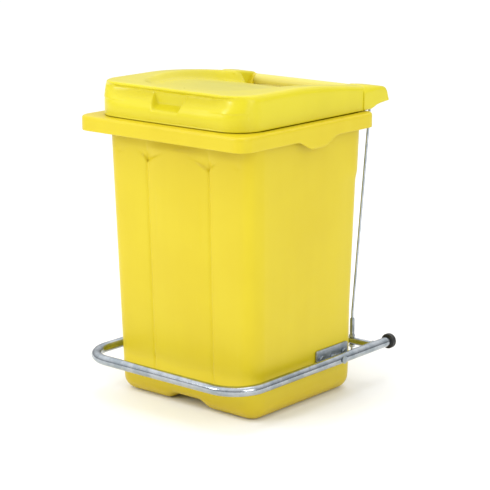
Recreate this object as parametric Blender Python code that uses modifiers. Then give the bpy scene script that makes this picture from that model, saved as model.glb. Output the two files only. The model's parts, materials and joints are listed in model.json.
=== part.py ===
"""Pedal bin: a moulded plastic bin of about 70 litres whose lid is lifted by a tubular steel foot pedal.

The pedal is a U of steel tube that goes round the front of the bin. It turns on two bolts, one on each
side, and behind the bin it carries a crossbar. Pressing the front bar lifts the crossbar, which pushes
two wire rods up under the lid, just in front of the lid's hinge.

Metres, +Z up, X across the bin, -Y is the front. The bin itself is drawn about its own centre line, and
one empty at the end moves everything so that the origin is the middle of the footprint on the floor.
"""

import math

import bmesh
import bpy
from mathutils import Matrix, Vector

# ---- Bin body, measured on the outside of the plastic ----
WALL = 0.0030
BODY_HALF_WIDTH = 0.1876  # at the floor
BODY_FRONT = 0.1640  # centre to front wall at the floor
BODY_REAR = 0.1644
SIDE_TAPER = 0.0213  # growth of each half width per metre of height
FRONT_TAPER = 0.0300
REAR_TAPER = 0.0257
BODY_CORNER = 0.0350
BASE_FILLET = 0.0300
CHANNEL_HEIGHT = 0.0140  # the base is raised between its two feet
CHANNEL_TOP_HALF_WIDTH = 0.0340
CHANNEL_HALF_WIDTH = 0.0620
CHANNEL_FADE = 0.0400  # height where the raised channel has died out of the wall
GROOVE_X = 0.0830  # the two grooves that part the front into three panels
GROOVE_HALF_WIDTH = 0.0070
GROOVE_DEPTH = 0.0040
GROOVE_LOW = 0.0500
GROOVE_HIGH = 0.5200

# ---- Rim, a turned-down flange round the mouth ----
RIM_TOP = 0.5903
SKIRT_DEPTH = 0.0303
RIM_SIDE_REACH = 0.0217  # how far the rim stands out past the body's wall
RIM_FRONT_REACH = 0.0568
RIM_REAR_REACH = 0.0083
RIM_CORNER = 0.0285
RIM_ROUNDING = 0.0060
GRIP_Y = 0.0000  # middle of the deeper hand grip in each side skirt
GRIP_HALF_LENGTH = 0.0600
GRIP_DROP = 0.0180

# ---- Lid hinge ----
HINGE_BEHIND_RIM = 0.0500
HINGE_ABOVE_RIM = 0.0277
GRIP_BAR_RADIUS = 0.0135
ARM_INNER_X = 0.1410
ARM_THICKNESS = 0.0100
AXLE_RADIUS = 0.0040
AXLE_OVERHANG = 0.0070  # axle past the inner plate of the lid's ear
CLIP_RADIUS = 0.0080
CLIP_THICKNESS = 0.0020

# ---- Lid ----
LID_WALL = 0.0030
LID_INSET = 0.0229  # the lid's edge lies this far inside the rim's outer edge
LID_GAP = 0.0017
LID_HEIGHT = 0.0695  # edge to crest at the front
LID_REAR_PAST_RIM = 0.0070
LID_FRONT_CORNER = 0.0595
LID_REAR_CORNER = 0.0120
CREST_FALL = 0.1960  # fall of the crest, times distance to the power 1.5
CREST_FALL_START = -0.0400
DISH_FRONT_DEPTH = 0.0090
DISH_REAR_DEPTH = 0.0240
DISH_START = 0.0240  # inward distance where the rim of the lid starts to fall into the dish
DISH_END = 0.0620
POCKET_HALF_WIDTH = 0.0380  # finger pocket under the front lip
POCKET_INSET = 0.0270
EAR_OUTER_INSET = 0.0010
EAR_WIDTH = 0.0450
EAR_PLATE = 0.0035
LUG_FROM_SIDE = 0.0230  # lid side to the lug that the lift rod hooks into
LUG_THICKNESS = 0.0040
LUG_RADIUS = 0.0082

# ---- Pedal frame ----
PEDAL_HEIGHT = 0.0860
TUBE_RADIUS = 0.0105
TUBE_WALL = 0.0015
LEG_GAP = 0.0151  # body side to the leg's tube
FRONT_BAR_GAP = 0.0649  # body front to the front bar's tube
TAIL_PAST_BODY = 0.0794  # body rear to the open end of each leg
BEND_RADIUS = 0.0700
PIVOT_Y = 0.0800
CROSSBAR_FROM_BODY = 0.0364
CROSSBAR_RADIUS = 0.0075
CAP_RADIUS = 0.0160
CAP_LENGTH = 0.0140
CAP_SHANK = 0.0200

# ---- Pivot brackets on the body ----
PLATE_LENGTH = 0.1060
PLATE_HEIGHT = 0.0360
PLATE_THICKNESS = 0.0040
PLATE_ABOVE_PIVOT = 0.0050
BOLT_SPACING = 0.0750
BOLT_RADIUS = 0.0040
BOLT_HEAD_RADIUS = 0.0075
BOLT_HEAD_HEIGHT = 0.0053
WASHER_RADIUS = 0.0085
WASHER_THICKNESS = 0.0016
NUT_RADIUS = 0.0075
NUT_HEIGHT = 0.0065
BOLT_PAST_NUT = 0.0020
PIVOT_RADIUS = 0.0050
PIVOT_HEAD_RADIUS = 0.0098
PIVOT_HEAD_HEIGHT = 0.0064
PIVOT_CAP_RADIUS = 0.0080
PIVOT_CAP_HEIGHT = 0.0035
BUSH_RADIUS = 0.0080

# ---- Lift rods ----
ROD_RADIUS = 0.00275
ROD_LUG_GAP = 0.00228  # lug to the side of the rod, where its hook begins
ROD_LEAN = 0.0275  # how far the rod leans outward on its way up
ROD_STRAIGHT_TOP = 0.1500
ROD_BELOW_CROSSBAR = 0.0220
HOOK_AHEAD_OF_HINGE = 0.0205
HOOK_BELOW_HINGE = 0.0120
HOOK_BEND = 0.0050
HOOK_END_PAST_LUG = 0.0060
HOOK_SLOT_MIDDLE = (0.0018, 0.0008)  # the lug's slot lies a little behind and above the hook at rest
HOOK_SLOT_HALF_LENGTH = 0.0019  # takes up the difference between the rod's arc and the lid's
HOOK_SLOT_SLOPE = 32.0
HOOK_PLAY = 0.00135  # between the hook and the sides of its slot
HOOK_SLOT_RADIUS = ROD_RADIUS + HOOK_PLAY
SLOT_HALF_LENGTH = 0.0052
SLEEVE_RADIUS = 0.0052
SLEEVE_LENGTH = 0.0360
ROD_NUT_RADIUS = 0.0065
ROD_NUT_HEIGHT = 0.0060

TOUCH = 0.0003  # gap between faces that touch
RUN = 0.0004  # gap round a shaft that turns

# ---- Places worked out from the sizes above ----
LEG_X = BODY_HALF_WIDTH + SIDE_TAPER * PEDAL_HEIGHT + LEG_GAP + TUBE_RADIUS
FRONT_BAR_Y = -(BODY_FRONT + FRONT_TAPER * PEDAL_HEIGHT + FRONT_BAR_GAP + TUBE_RADIUS)
TAIL_Y = BODY_REAR + REAR_TAPER * PEDAL_HEIGHT + TAIL_PAST_BODY
CROSSBAR_Y = BODY_REAR + REAR_TAPER * PEDAL_HEIGHT + CROSSBAR_FROM_BODY
RIM_HALF_WIDTH = BODY_HALF_WIDTH + SIDE_TAPER * RIM_TOP + RIM_SIDE_REACH
RIM_FRONT = BODY_FRONT + FRONT_TAPER * RIM_TOP + RIM_FRONT_REACH
RIM_REAR = BODY_REAR + REAR_TAPER * RIM_TOP + RIM_REAR_REACH
LID_HALF_WIDTH = RIM_HALF_WIDTH - LID_INSET
LID_FRONT = RIM_FRONT - LID_INSET
LID_REAR = RIM_REAR + LID_REAR_PAST_RIM
LID_EDGE = RIM_TOP + LID_GAP
HINGE_Y = RIM_REAR + HINGE_BEHIND_RIM
HINGE_Z = RIM_TOP + HINGE_ABOVE_RIM
HOOK_Y = HINGE_Y - HOOK_AHEAD_OF_HINGE
HOOK_Z = HINGE_Z - HOOK_BELOW_HINGE
EAR_OUTER_X = LID_HALF_WIDTH - EAR_OUTER_INSET
EAR_INNER_X = EAR_OUTER_X - EAR_WIDTH
LUG_X = LID_HALF_WIDTH - LUG_FROM_SIDE
ROD_TOP_X = LUG_X + ROD_LUG_GAP + ROD_RADIUS
ROD_X = ROD_TOP_X - ROD_LEAN
PLATE_X = BODY_HALF_WIDTH + SIDE_TAPER * (PEDAL_HEIGHT + PLATE_HEIGHT) + TOUCH
PLATE_Z = PEDAL_HEIGHT + PLATE_ABOVE_PIVOT
FOOTPRINT_SHIFT = (-FRONT_BAR_Y + TUBE_RADIUS - TAIL_Y - CAP_LENGTH) / 2

COLLECTION = "pedal_bin"
YELLOW = (0.87, 0.66, 0.03)
PALE_YELLOW = (0.90, 0.74, 0.14)
ZINC = (0.60, 0.62, 0.64)
BLACK = (0.02, 0.02, 0.02)


# ---- Modelling helpers ----


def clear_scene():
    for obj in list(bpy.data.objects):
        bpy.data.objects.remove(obj, do_unlink=True)
    collection = bpy.data.collections.new(COLLECTION)
    bpy.context.scene.collection.children.link(collection)


def link(name, data):
    obj = bpy.data.objects.new(name, data)
    bpy.data.collections[COLLECTION].objects.link(obj)
    return obj


def object_from_bmesh(name, bm):
    mesh = bpy.data.meshes.new(name)
    bm.to_mesh(mesh)
    bm.free()
    return link(name, mesh)


def bake(obj):
    """Makes the evaluated shape the object's own mesh, with loose caps welded and normals outward."""
    bpy.context.view_layer.update()
    evaluated = obj.evaluated_get(bpy.context.evaluated_depsgraph_get())
    mesh = bpy.data.meshes.new_from_object(evaluated)
    baked = link(obj.name + "_mesh", mesh)
    baked.matrix_world = obj.matrix_world.copy()
    name = obj.name
    bpy.data.objects.remove(obj, do_unlink=True)
    baked.name = name
    mesh.transform(baked.matrix_world)
    baked.matrix_world = Matrix.Identity(4)
    bm = bmesh.new()
    bm.from_mesh(mesh)
    bmesh.ops.remove_doubles(bm, verts=bm.verts, dist=3e-5)
    bmesh.ops.recalc_face_normals(bm, faces=bm.faces)
    bm.to_mesh(mesh)
    bm.free()
    return baked


def combine(obj, others, operation):
    """Joins the other solids to this one, or cuts them away, and removes them."""
    for other in others:
        modifier = obj.modifiers.new(operation.title(), "BOOLEAN")
        modifier.operation = operation
        modifier.object = other
    result = bake(obj)
    for other in others:
        bpy.data.objects.remove(other, do_unlink=True)
    return result


def cylinder(name, radius, start, end, segments=24, turn=0.0):
    """A round bar from start to end, or a hexagonal one with six segments."""
    start = Vector(start)
    run = Vector(end) - start
    bm = bmesh.new()
    bmesh.ops.create_cone(
        bm, cap_ends=True, segments=segments, radius1=radius, radius2=radius, depth=run.length
    )
    place = Matrix.Translation(start + run / 2) @ run.to_track_quat("Z", "Y").to_matrix().to_4x4()
    bmesh.ops.transform(bm, matrix=place @ Matrix.Rotation(turn, 4, "Z"), verts=bm.verts)
    return object_from_bmesh(name, bm)


def box(name, low, high):
    low = Vector(low)
    size = Vector(high) - low
    bm = bmesh.new()
    bmesh.ops.create_cube(bm, size=1)
    bmesh.ops.scale(bm, vec=size, verts=bm.verts)
    bmesh.ops.translate(bm, vec=low + size / 2, verts=bm.verts)
    return object_from_bmesh(name, bm)


def side_plate(name, outline, x_low, x_high):
    """A flat outline in Y and Z, as thick as the distance between the two X places."""
    curve = bpy.data.curves.new(name, "CURVE")
    curve.dimensions = "2D"
    curve.fill_mode = "BOTH"
    curve.extrude = abs(x_high - x_low) / 2
    spline = curve.splines.new("POLY")
    spline.points.add(len(outline) - 1)
    for point, (y, z) in zip(spline.points, outline):
        point.co = (y, z, 0, 1)
    spline.use_cyclic_u = True
    obj = link(name, curve)
    turn = Matrix(((0, 0, 1, 0), (1, 0, 0, 0), (0, 1, 0, 0), (0, 0, 0, 1)))
    obj.matrix_world = Matrix.Translation(((x_low + x_high) / 2, 0, 0)) @ turn
    return bake(obj)


def bar_along(name, points, radius, sides_level=6, capped=True):
    """A round bar or an open tube along a line of points."""
    curve = bpy.data.curves.new(name, "CURVE")
    curve.dimensions = "3D"
    curve.bevel_depth = radius
    curve.bevel_resolution = sides_level
    curve.use_fill_caps = capped
    spline = curve.splines.new("POLY")
    spline.points.add(len(points) - 1)
    for point, co in zip(spline.points, points):
        point.co = (*co, 1)
    return bake(link(name, curve))


def turned(name, profile, base, axis, steps=24):
    """A solid turned about an axis. The profile is (radius, height) pairs, from its top down."""
    mesh = bpy.data.meshes.new(name)
    points = [(radius, 0, height) for radius, height in profile]
    mesh.from_pydata(points, [(i, i + 1) for i in range(len(points) - 1)], [])
    obj = link(name, mesh)
    screw = obj.modifiers.new("Turn", "SCREW")
    screw.steps = steps
    screw.render_steps = steps
    screw.use_merge_vertices = True
    screw.merge_threshold = 1e-6
    obj.matrix_world = Matrix.Translation(base) @ Vector(axis).to_track_quat("Z", "Y").to_matrix().to_4x4()
    return bake(obj)


def smoothstep(low, high, value):
    t = min(max((value - low) / (high - low), 0.0), 1.0)
    return t * t * (3 - 2 * t)


def left_corner(half_width, reach, radius, steps):
    """(distance from the middle, distance outward, frontness) round one corner, from the side to the end."""
    points = []
    for step in range(steps + 1):
        angle = math.pi / 2 * step / steps
        x = -half_width + radius * (1 - math.cos(angle))
        points.append((x, reach - radius * (1 - math.sin(angle)), math.sin(angle)))
    return points


def ring(half_width, front, rear, corners, stations, side_stations, steps):
    """One closed outline of the moulding seen from above, anticlockwise from the left end of the front.

    Each point is (x, y, frontness). Frontness is 1 along the front, falls to 0 round the front corners
    and stays 0 on the sides and rear. The front row comes first, then the right side, the rear row and
    the left side. The front and rear rows have the same number of points.
    """
    across = [-x for x in reversed(stations) if x > 0] + stations
    rows = []
    for reach, radius in ((front, corners[0]), (rear, corners[1])):
        corner = left_corner(half_width, reach, radius, steps)
        row = corner + [(x, reach, 1.0) for x in across]
        rows.append(row + [(-x, out, w) for x, out, w in reversed(corner)])
    front_row = [(x, -out, w) for x, out, w in rows[0]]
    rear_row = [(x, out, 0.0) for x, out, w in rows[1]]
    right = [(half_width, y, 0.0) for y in side_stations]
    left = [(-half_width, y, 0.0) for y in reversed(side_stations)]
    return front_row + right + rear_row[::-1] + left, len(front_row), len(right)


def loft(name, rings, row, sides, caps):
    """A surface through the rings, closed low or high by strips that run from front row to rear row."""
    bm = bmesh.new()
    grid = [[bm.verts.new(point) for point in points] for points in rings]
    count = len(grid[0])
    for low, high in zip(grid, grid[1:]):
        for i in range(count):
            j = (i + 1) % count
            bm.faces.new((low[i], low[j], high[j], high[i]))
    for cap in caps:
        closing = grid[0] if cap == "low" else grid[-1]
        front = closing[:row]
        right = closing[row : row + sides]
        rear = closing[row + sides : 2 * row + sides][::-1]
        left = closing[2 * row + sides :]
        for k in range(row - 1):
            around = [front[k], front[k + 1]]
            around += right if k == row - 2 else []
            around += [rear[k + 1], rear[k]]
            around += left if k == 0 else []
            bm.faces.new(around[::-1] if cap == "low" else around)
    return object_from_bmesh(name, bm)


def shell(obj, thickness, even=True):
    solidify = obj.modifiers.new("Wall", "SOLIDIFY")
    solidify.thickness = thickness
    solidify.offset = -1
    solidify.use_even_offset = even
    return bake(obj)


def finish(obj, colour, roughness, metallic):
    """Gives the piece its own material and smooth round faces."""
    material = bpy.data.materials.new(obj.name)
    material.use_nodes = True
    shader = material.node_tree.nodes["Principled BSDF"]
    shader.inputs["Base Color"].default_value = (*colour, 1)
    shader.inputs["Roughness"].default_value = roughness
    shader.inputs["Metallic"].default_value = metallic
    obj.data.materials.clear()
    obj.data.materials.append(material)
    obj.data.shade_smooth()
    obj.data.set_sharp_from_angle(angle=math.radians(35))
    return obj


def plastic(obj, colour=YELLOW):
    return finish(obj, colour, 0.38, 0.0)


def zinc(obj):
    return finish(obj, ZINC, 0.32, 1.0)


def sided(name, side):
    return name + ("_left" if side < 0 else "_right")


# ---- Bin body ----


def body_half_width(z):
    return BODY_HALF_WIDTH + SIDE_TAPER * z


def base_lift(x, z):
    """How far the channel between the feet raises a point of the base."""
    slope = 1 - (abs(x) - CHANNEL_TOP_HALF_WIDTH) / (CHANNEL_HALF_WIDTH - CHANNEL_TOP_HALF_WIDTH)
    return CHANNEL_HEIGHT * min(max(slope, 0), 1) * max(1 - z / CHANNEL_FADE, 0)


def groove(x, z, frontness):
    """Depth of the grooves between the three front panels."""
    if frontness < 1 or not GROOVE_LOW <= z <= GROOVE_HIGH:
        return 0.0
    return GROOVE_DEPTH * max(1 - abs(abs(x) - GROOVE_X) / GROOVE_HALF_WIDTH, 0)


def grip_drop(x, y):
    """How much deeper a side skirt hangs at its hand grip."""
    if abs(x) < RIM_HALF_WIDTH - RIM_CORNER:
        return 0.0
    return GRIP_DROP * (1 - smoothstep(0.25, 1.0, abs(y - GRIP_Y) / GRIP_HALF_LENGTH))


def body_stations():
    """The places across the front where the outline has points of its own."""
    grooves = [GROOVE_X + GROOVE_HALF_WIDTH * share for share in (-1, 0, 1)]
    return [0.0, CHANNEL_TOP_HALF_WIDTH, CHANNEL_HALF_WIDTH, *grooves]


def body_levels():
    """(inset from the wall line, height) all round the body's section, from under the base to its inside."""
    fillet = []
    lining = []
    for step in range(5):
        angle = math.pi / 2 * step / 4
        inner = BASE_FILLET - WALL
        fillet.append((BASE_FILLET * (1 - math.sin(angle)), BASE_FILLET * (1 - math.cos(angle))))
        lining.append((BASE_FILLET - inner * math.sin(angle), BASE_FILLET - inner * math.cos(angle)))
    heights = (GROOVE_LOW - 0.010, GROOVE_LOW, 0.300, GROOVE_HIGH, GROOVE_HIGH + 0.010)
    outside = fillet + [(0.0, z) for z in heights] + [(0.0, RIM_TOP - WALL)]
    inside = [(WALL, RIM_TOP)] + [(WALL, z) for z in reversed(heights)] + lining[::-1]
    return outside, inside


def rim_levels():
    """(inset from the rim's outer face, height, share of the grip's drop), from under the rim to its top."""
    bottom = RIM_TOP - SKIRT_DEPTH
    corner = RIM_ROUNDING * (1 - math.sqrt(0.5))
    return (
        (WALL, RIM_TOP - WALL, 0),
        (WALL, bottom, 1),
        (0.0, bottom, 1),
        (0.0, RIM_TOP - RIM_ROUNDING, 0),
        (corner, RIM_TOP - corner, 0),
        (RIM_ROUNDING, RIM_TOP, 0),
    )


def make_bin_body():
    """Tapered shell with a turned-down rim, two arms behind it for the hinge, and holes for the brackets."""
    stations = body_stations()
    grips = [GRIP_Y + GRIP_HALF_LENGTH * share for share in (-1, -0.7, -0.45, -0.2, 0.2, 0.45, 0.7, 1)]

    def wall_ring(inset, z):
        reaches = (BODY_FRONT + FRONT_TAPER * z - inset, BODY_REAR + REAR_TAPER * z - inset)
        corners = [max(BODY_CORNER - inset, 0.005)] * 2
        points, row, sides = ring(body_half_width(z) - inset, *reaches, corners, stations, grips, 6)
        return [(x, y + groove(x, z, w), z + base_lift(x, z)) for x, y, w in points], row, sides

    def rim_ring(inset, z, drop):
        reaches = (RIM_FRONT - inset, RIM_REAR - inset)
        corners = [RIM_CORNER - inset] * 2
        points = ring(RIM_HALF_WIDTH - inset, *reaches, corners, stations, grips, 6)[0]
        return [(x, y, z - drop * grip_drop(x, y)) for x, y, w in points]

    outside, inside = body_levels()
    rings = [wall_ring(*level)[0] for level in outside]
    rings += [rim_ring(*level) for level in rim_levels()]
    rings += [wall_ring(*level)[0] for level in inside]
    row, sides = wall_ring(0.0, RIM_TOP)[1:]
    body = loft("bin_body", rings, row, sides, ("low", "high"))
    body = combine(body, [make_arm(side) for side in (-1, 1)], "UNION")
    reach = LEG_X + TUBE_RADIUS
    holes = [cylinder("hole", AXLE_RADIUS + TOUCH, (-reach, HINGE_Y, HINGE_Z), (reach, HINGE_Y, HINGE_Z))]
    for y in bolt_places():
        holes.append(cylinder("hole", BOLT_RADIUS + TOUCH, (-reach, y, PLATE_Z), (reach, y, PLATE_Z), 16))
    holes.append(
        cylinder(
            "hole", PIVOT_RADIUS + TOUCH, (-reach, PIVOT_Y, PEDAL_HEIGHT), (reach, PIVOT_Y, PEDAL_HEIGHT), 16
        )
    )
    return plastic(combine(body, holes, "DIFFERENCE"))


def make_arm(side):
    """A web from the rear skirt up to the round knuckle that holds the grip bar and the axle."""
    root = RIM_REAR - WALL / 2
    low = RIM_TOP - SKIRT_DEPTH + 0.004
    outline = [(root, low), (root + 0.006, low)]
    for step in range(13):
        angle = math.radians(-60 + 200 * step / 12)
        y = HINGE_Y + GRIP_BAR_RADIUS * math.cos(angle)
        outline.append((y, HINGE_Z + GRIP_BAR_RADIUS * math.sin(angle)))
    outline += [(root + 0.012, RIM_TOP - 0.001), (root, RIM_TOP - 0.003)]
    x = side * ARM_INNER_X
    return side_plate("arm", outline, x, x + side * ARM_THICKNESS)


def bolt_places():
    return (PIVOT_Y - BOLT_SPACING / 2, PIVOT_Y + BOLT_SPACING / 2)


# ---- Lid ----


def crest_height(y):
    """Height of the lid's crest: level at the front, then falling faster and faster towards the hinge."""
    return LID_EDGE + LID_HEIGHT - CREST_FALL * max(y - CREST_FALL_START, 0) ** 1.5


def inward(x, y):
    """Distance in from the lid's front and side edges, with the rear left open."""
    dx = abs(x) - (LID_HALF_WIDTH - LID_FRONT_CORNER)
    dy = -y - (LID_FRONT - LID_FRONT_CORNER)
    outside = math.hypot(max(dx, 0), max(dy, 0)) + min(max(dx, dy), 0)
    return LID_FRONT_CORNER - outside


def dish(x, y):
    """How far the dished middle lies below the crest."""
    share = (y + LID_FRONT) / (LID_FRONT + LID_REAR)
    depth = DISH_FRONT_DEPTH + (DISH_REAR_DEPTH - DISH_FRONT_DEPTH) * share
    return depth * smoothstep(DISH_START, DISH_END, inward(x, y))


def lid_profile():
    """(side inset, side height share, front inset, front height share) from the lower edge up and over.

    The sides stand straight to a rounded crest. The front swells, draws in to a cove and comes out
    again to a lip.
    """
    return (
        (0.0000, 0.00, 0.0000, 0.00),
        (0.0000, 0.36, 0.0000, 0.36),
        (0.0000, 0.55, 0.0060, 0.54),
        (0.0000, 0.66, 0.0150, 0.65),
        (0.0000, 0.76, 0.0190, 0.76),
        (0.0006, 0.83, 0.0170, 0.84),
        (0.0016, 0.89, 0.0125, 0.89),
        (0.0045, 0.95, 0.0125, 0.94),
        (0.0090, 0.99, 0.0170, 0.985),
        (0.0160, 1.00, 0.0240, 1.00),
        (0.0300, 1.00, 0.0340, 1.00),
        (0.0430, 1.00, 0.0450, 1.00),
        (0.0560, 1.00, 0.0560, 1.00),
        (0.0680, 1.00, 0.0680, 1.00),
    )


def pocket(x, share, frontness, inset):
    """Presses the finger pocket into the middle of the front cove."""
    if frontness == 1 and abs(x) <= POCKET_HALF_WIDTH and 0.5 < share < 0.8:
        return max(inset, POCKET_INSET)
    return inset


def lid_ring(side_inset, side_share, front_inset, front_share):
    stations = [0.0, POCKET_HALF_WIDTH - 0.004, POCKET_HALF_WIDTH, POCKET_HALF_WIDTH + 0.008, 0.110]
    sides = [-0.100, -0.040, 0.020, 0.080, 0.135]
    outer, row, count = ring(
        LID_HALF_WIDTH, LID_FRONT, LID_REAR, (LID_FRONT_CORNER, LID_REAR_CORNER), stations, sides, 7
    )
    inner = ring(
        LID_HALF_WIDTH - 0.070, LID_FRONT - 0.070, LID_REAR - 0.070,
        (LID_FRONT_CORNER - 0.045, 0.004), stations, sides, 7,
    )[0]
    points = []
    for (x, y, w), (x_in, y_in, _) in zip(outer, inner):
        blend = smoothstep(0.15, 0.95, w)
        share = side_share + (front_share - side_share) * blend
        inset = side_inset + (front_inset - side_inset) * blend
        inset = pocket(x, share, w, inset)
        t = inset / 0.070
        px = x + (x_in - x) * t if abs(x) > stations[-1] else x
        py = y + (y_in - y) * t if abs(y) > sides[-1] or y < sides[0] else y
        top = crest_height(py) - dish(px, py)
        points.append((px, py, LID_EDGE + share * (top - LID_EDGE)))
    return points, row, count


def ear_outline(inset):
    """The ear's outline from the side, drawn in by the inset. Its top is on the line of the crest."""
    top = [(y, crest_height(y) - 0.0010 - inset) for y in (LID_REAR - 0.006, LID_REAR + 0.018, HINGE_Y)]
    rear = [
        (HINGE_Y + 0.0060 - inset, HINGE_Z + 0.0125 - inset),
        (HINGE_Y + 0.0115 - inset, HINGE_Z + 0.0060),
        (HINGE_Y + 0.0150 - inset, HINGE_Z - 0.0040),
        (HINGE_Y + 0.0168 - inset, HINGE_Z - 0.0130),
        (HINGE_Y + 0.0150 - inset, HINGE_Z - 0.0147),
    ]
    under = [
        (HINGE_Y - 0.012, HINGE_Z - 0.0160),
        (HINGE_Y - 0.026, HINGE_Z - 0.0186),
        (HINGE_Y - 0.035, HINGE_Z - 0.0222),
        (LID_REAR - 0.006, LID_EDGE + 0.0012),
    ]
    return top + rear + under


def make_ear_cutter(side):
    """The hollow of an ear: between its two side plates, behind the lid's rear wall and open below."""
    front = LID_REAR + 0.0010
    outline = [point for point in ear_outline(EAR_PLATE)[1:8]]
    top_front = (front, crest_height(front) - 0.0010 - EAR_PLATE)
    below = LID_EDGE - 0.010
    outline = [top_front, *outline, (outline[-1][0], below), (front, below)]
    return side_plate("hollow", outline, side * (EAR_INNER_X + EAR_PLATE), side * (EAR_OUTER_X - EAR_PLATE))


def lug_outline():
    """The lug hangs from the ear's top skin and ends in a half round below the hook's slot."""
    outline = []
    middle = HOOK_Y + HOOK_SLOT_MIDDLE[0]
    for step in range(9):
        angle = math.pi * (1 + step / 8)
        z = HOOK_Z + HOOK_SLOT_MIDDLE[1] + LUG_RADIUS * math.sin(angle)
        outline.append((middle + LUG_RADIUS * math.cos(angle), z))
    for y in (middle + LUG_RADIUS, middle - LUG_RADIUS):
        outline.append((y, crest_height(y) - 0.0010 - EAR_PLATE / 2))
    return outline


def hook_slot_outline():
    """A sloping slot with round ends, in which the rod's hook can shift as the lid turns."""
    slope = math.radians(HOOK_SLOT_SLOPE)
    outline = []
    for end in (1, -1):
        y = HOOK_Y + HOOK_SLOT_MIDDLE[0] + end * HOOK_SLOT_HALF_LENGTH * math.cos(slope)
        z = HOOK_Z + HOOK_SLOT_MIDDLE[1] + end * HOOK_SLOT_HALF_LENGTH * math.sin(slope)
        for step in range(9):
            angle = slope + math.pi * (step / 8 - end / 2)
            outline.append((y + HOOK_SLOT_RADIUS * math.cos(angle), z + HOOK_SLOT_RADIUS * math.sin(angle)))
    return outline


def make_lid():
    """Dished shell lid with a lip, two hollow ears on the hinge line and a lug for each lift rod."""
    rings = []
    for level in lid_profile():
        points, row, count = lid_ring(*level)
        rings.append(points)
    lid = shell(loft("lid", rings, row, count, ("high",)), LID_WALL, even=False)
    ears = [side_plate("ear", ear_outline(0.0), s * EAR_INNER_X, s * EAR_OUTER_X) for s in (-1, 1)]
    lid = combine(lid, ears, "UNION")
    lid = combine(lid, [make_ear_cutter(side) for side in (-1, 1)], "DIFFERENCE")
    lugs = [side_plate("lug", lug_outline(), s * LUG_X, s * (LUG_X - LUG_THICKNESS)) for s in (-1, 1)]
    lid = combine(lid, lugs, "UNION")
    axle_end = EAR_INNER_X + EAR_PLATE + 0.004
    holes = [cylinder("hole", AXLE_RADIUS + RUN, (-axle_end, HINGE_Y, HINGE_Z), (axle_end, HINGE_Y, HINGE_Z))]
    for s in (-1, 1):
        near = s * (LUG_X - LUG_THICKNESS - 0.001)
        holes.append(side_plate("slot", hook_slot_outline(), near, s * (LUG_X + 0.001)))
    return plastic(combine(lid, holes, "DIFFERENCE"))


# ---- Hinge hardware ----


def make_grip_bar():
    """Plastic grip tube between the arms, threaded on the axle."""
    end = ARM_INNER_X - TOUCH
    bar = cylinder("grip_bar", GRIP_BAR_RADIUS, (-end, HINGE_Y, HINGE_Z), (end, HINGE_Y, HINGE_Z), 24)
    bore = cylinder("bore", AXLE_RADIUS + TOUCH, (-0.2, HINGE_Y, HINGE_Z), (0.2, HINGE_Y, HINGE_Z), 16)
    return plastic(combine(bar, [bore], "DIFFERENCE"), PALE_YELLOW)


def make_axle():
    end = EAR_INNER_X + EAR_PLATE + AXLE_OVERHANG
    return zinc(cylinder("lid_axle", AXLE_RADIUS, (-end, HINGE_Y, HINGE_Z), (end, HINGE_Y, HINGE_Z), 16))


def make_axle_clip(side):
    """Push-on spring washer that keeps the axle in the lid's ear."""
    inner = EAR_INNER_X + EAR_PLATE + TOUCH
    start = (side * inner, HINGE_Y, HINGE_Z)
    end = (side * (inner + CLIP_THICKNESS), HINGE_Y, HINGE_Z)
    clip = cylinder(sided("axle_clip", side), CLIP_RADIUS, start, end)
    start = (side * 0.1, HINGE_Y, HINGE_Z)
    bore = cylinder("bore", AXLE_RADIUS + TOUCH, start, (side * 0.2, HINGE_Y, HINGE_Z), 16)
    return zinc(combine(clip, [bore], "DIFFERENCE"))


# ---- Pedal frame ----


def pedal_path():
    """The tube's centre line: up one side, round the front in two bends, and back down the other side."""
    points = [(-LEG_X, TAIL_Y, PEDAL_HEIGHT)]
    for side in (-1, 1):
        centre = Vector((side * (LEG_X - BEND_RADIUS), FRONT_BAR_Y + BEND_RADIUS, PEDAL_HEIGHT))
        bend = []
        for step in range(9):
            angle = math.pi / 2 * step / 8
            bend.append(centre + BEND_RADIUS * Vector((side * math.cos(angle), -math.sin(angle), 0)))
        points += bend if side < 0 else list(reversed(bend))
    return points + [(LEG_X, TAIL_Y, PEDAL_HEIGHT)]


def make_pedal_frame():
    """U of steel tube, open at both tails, bored through for the pivot bolts."""
    tube = bar_along("pedal_frame", pedal_path(), TUBE_RADIUS, 6, capped=False)
    tube = shell(tube, TUBE_WALL)
    holes = []
    for side in (-1, 1):
        start = (side * (LEG_X - 2 * TUBE_RADIUS), PIVOT_Y, PEDAL_HEIGHT)
        end = (side * (LEG_X + 2 * TUBE_RADIUS), PIVOT_Y, PEDAL_HEIGHT)
        holes.append(cylinder("hole", PIVOT_RADIUS + RUN, start, end, 16))
    return zinc(combine(tube, holes, "DIFFERENCE"))


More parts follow.
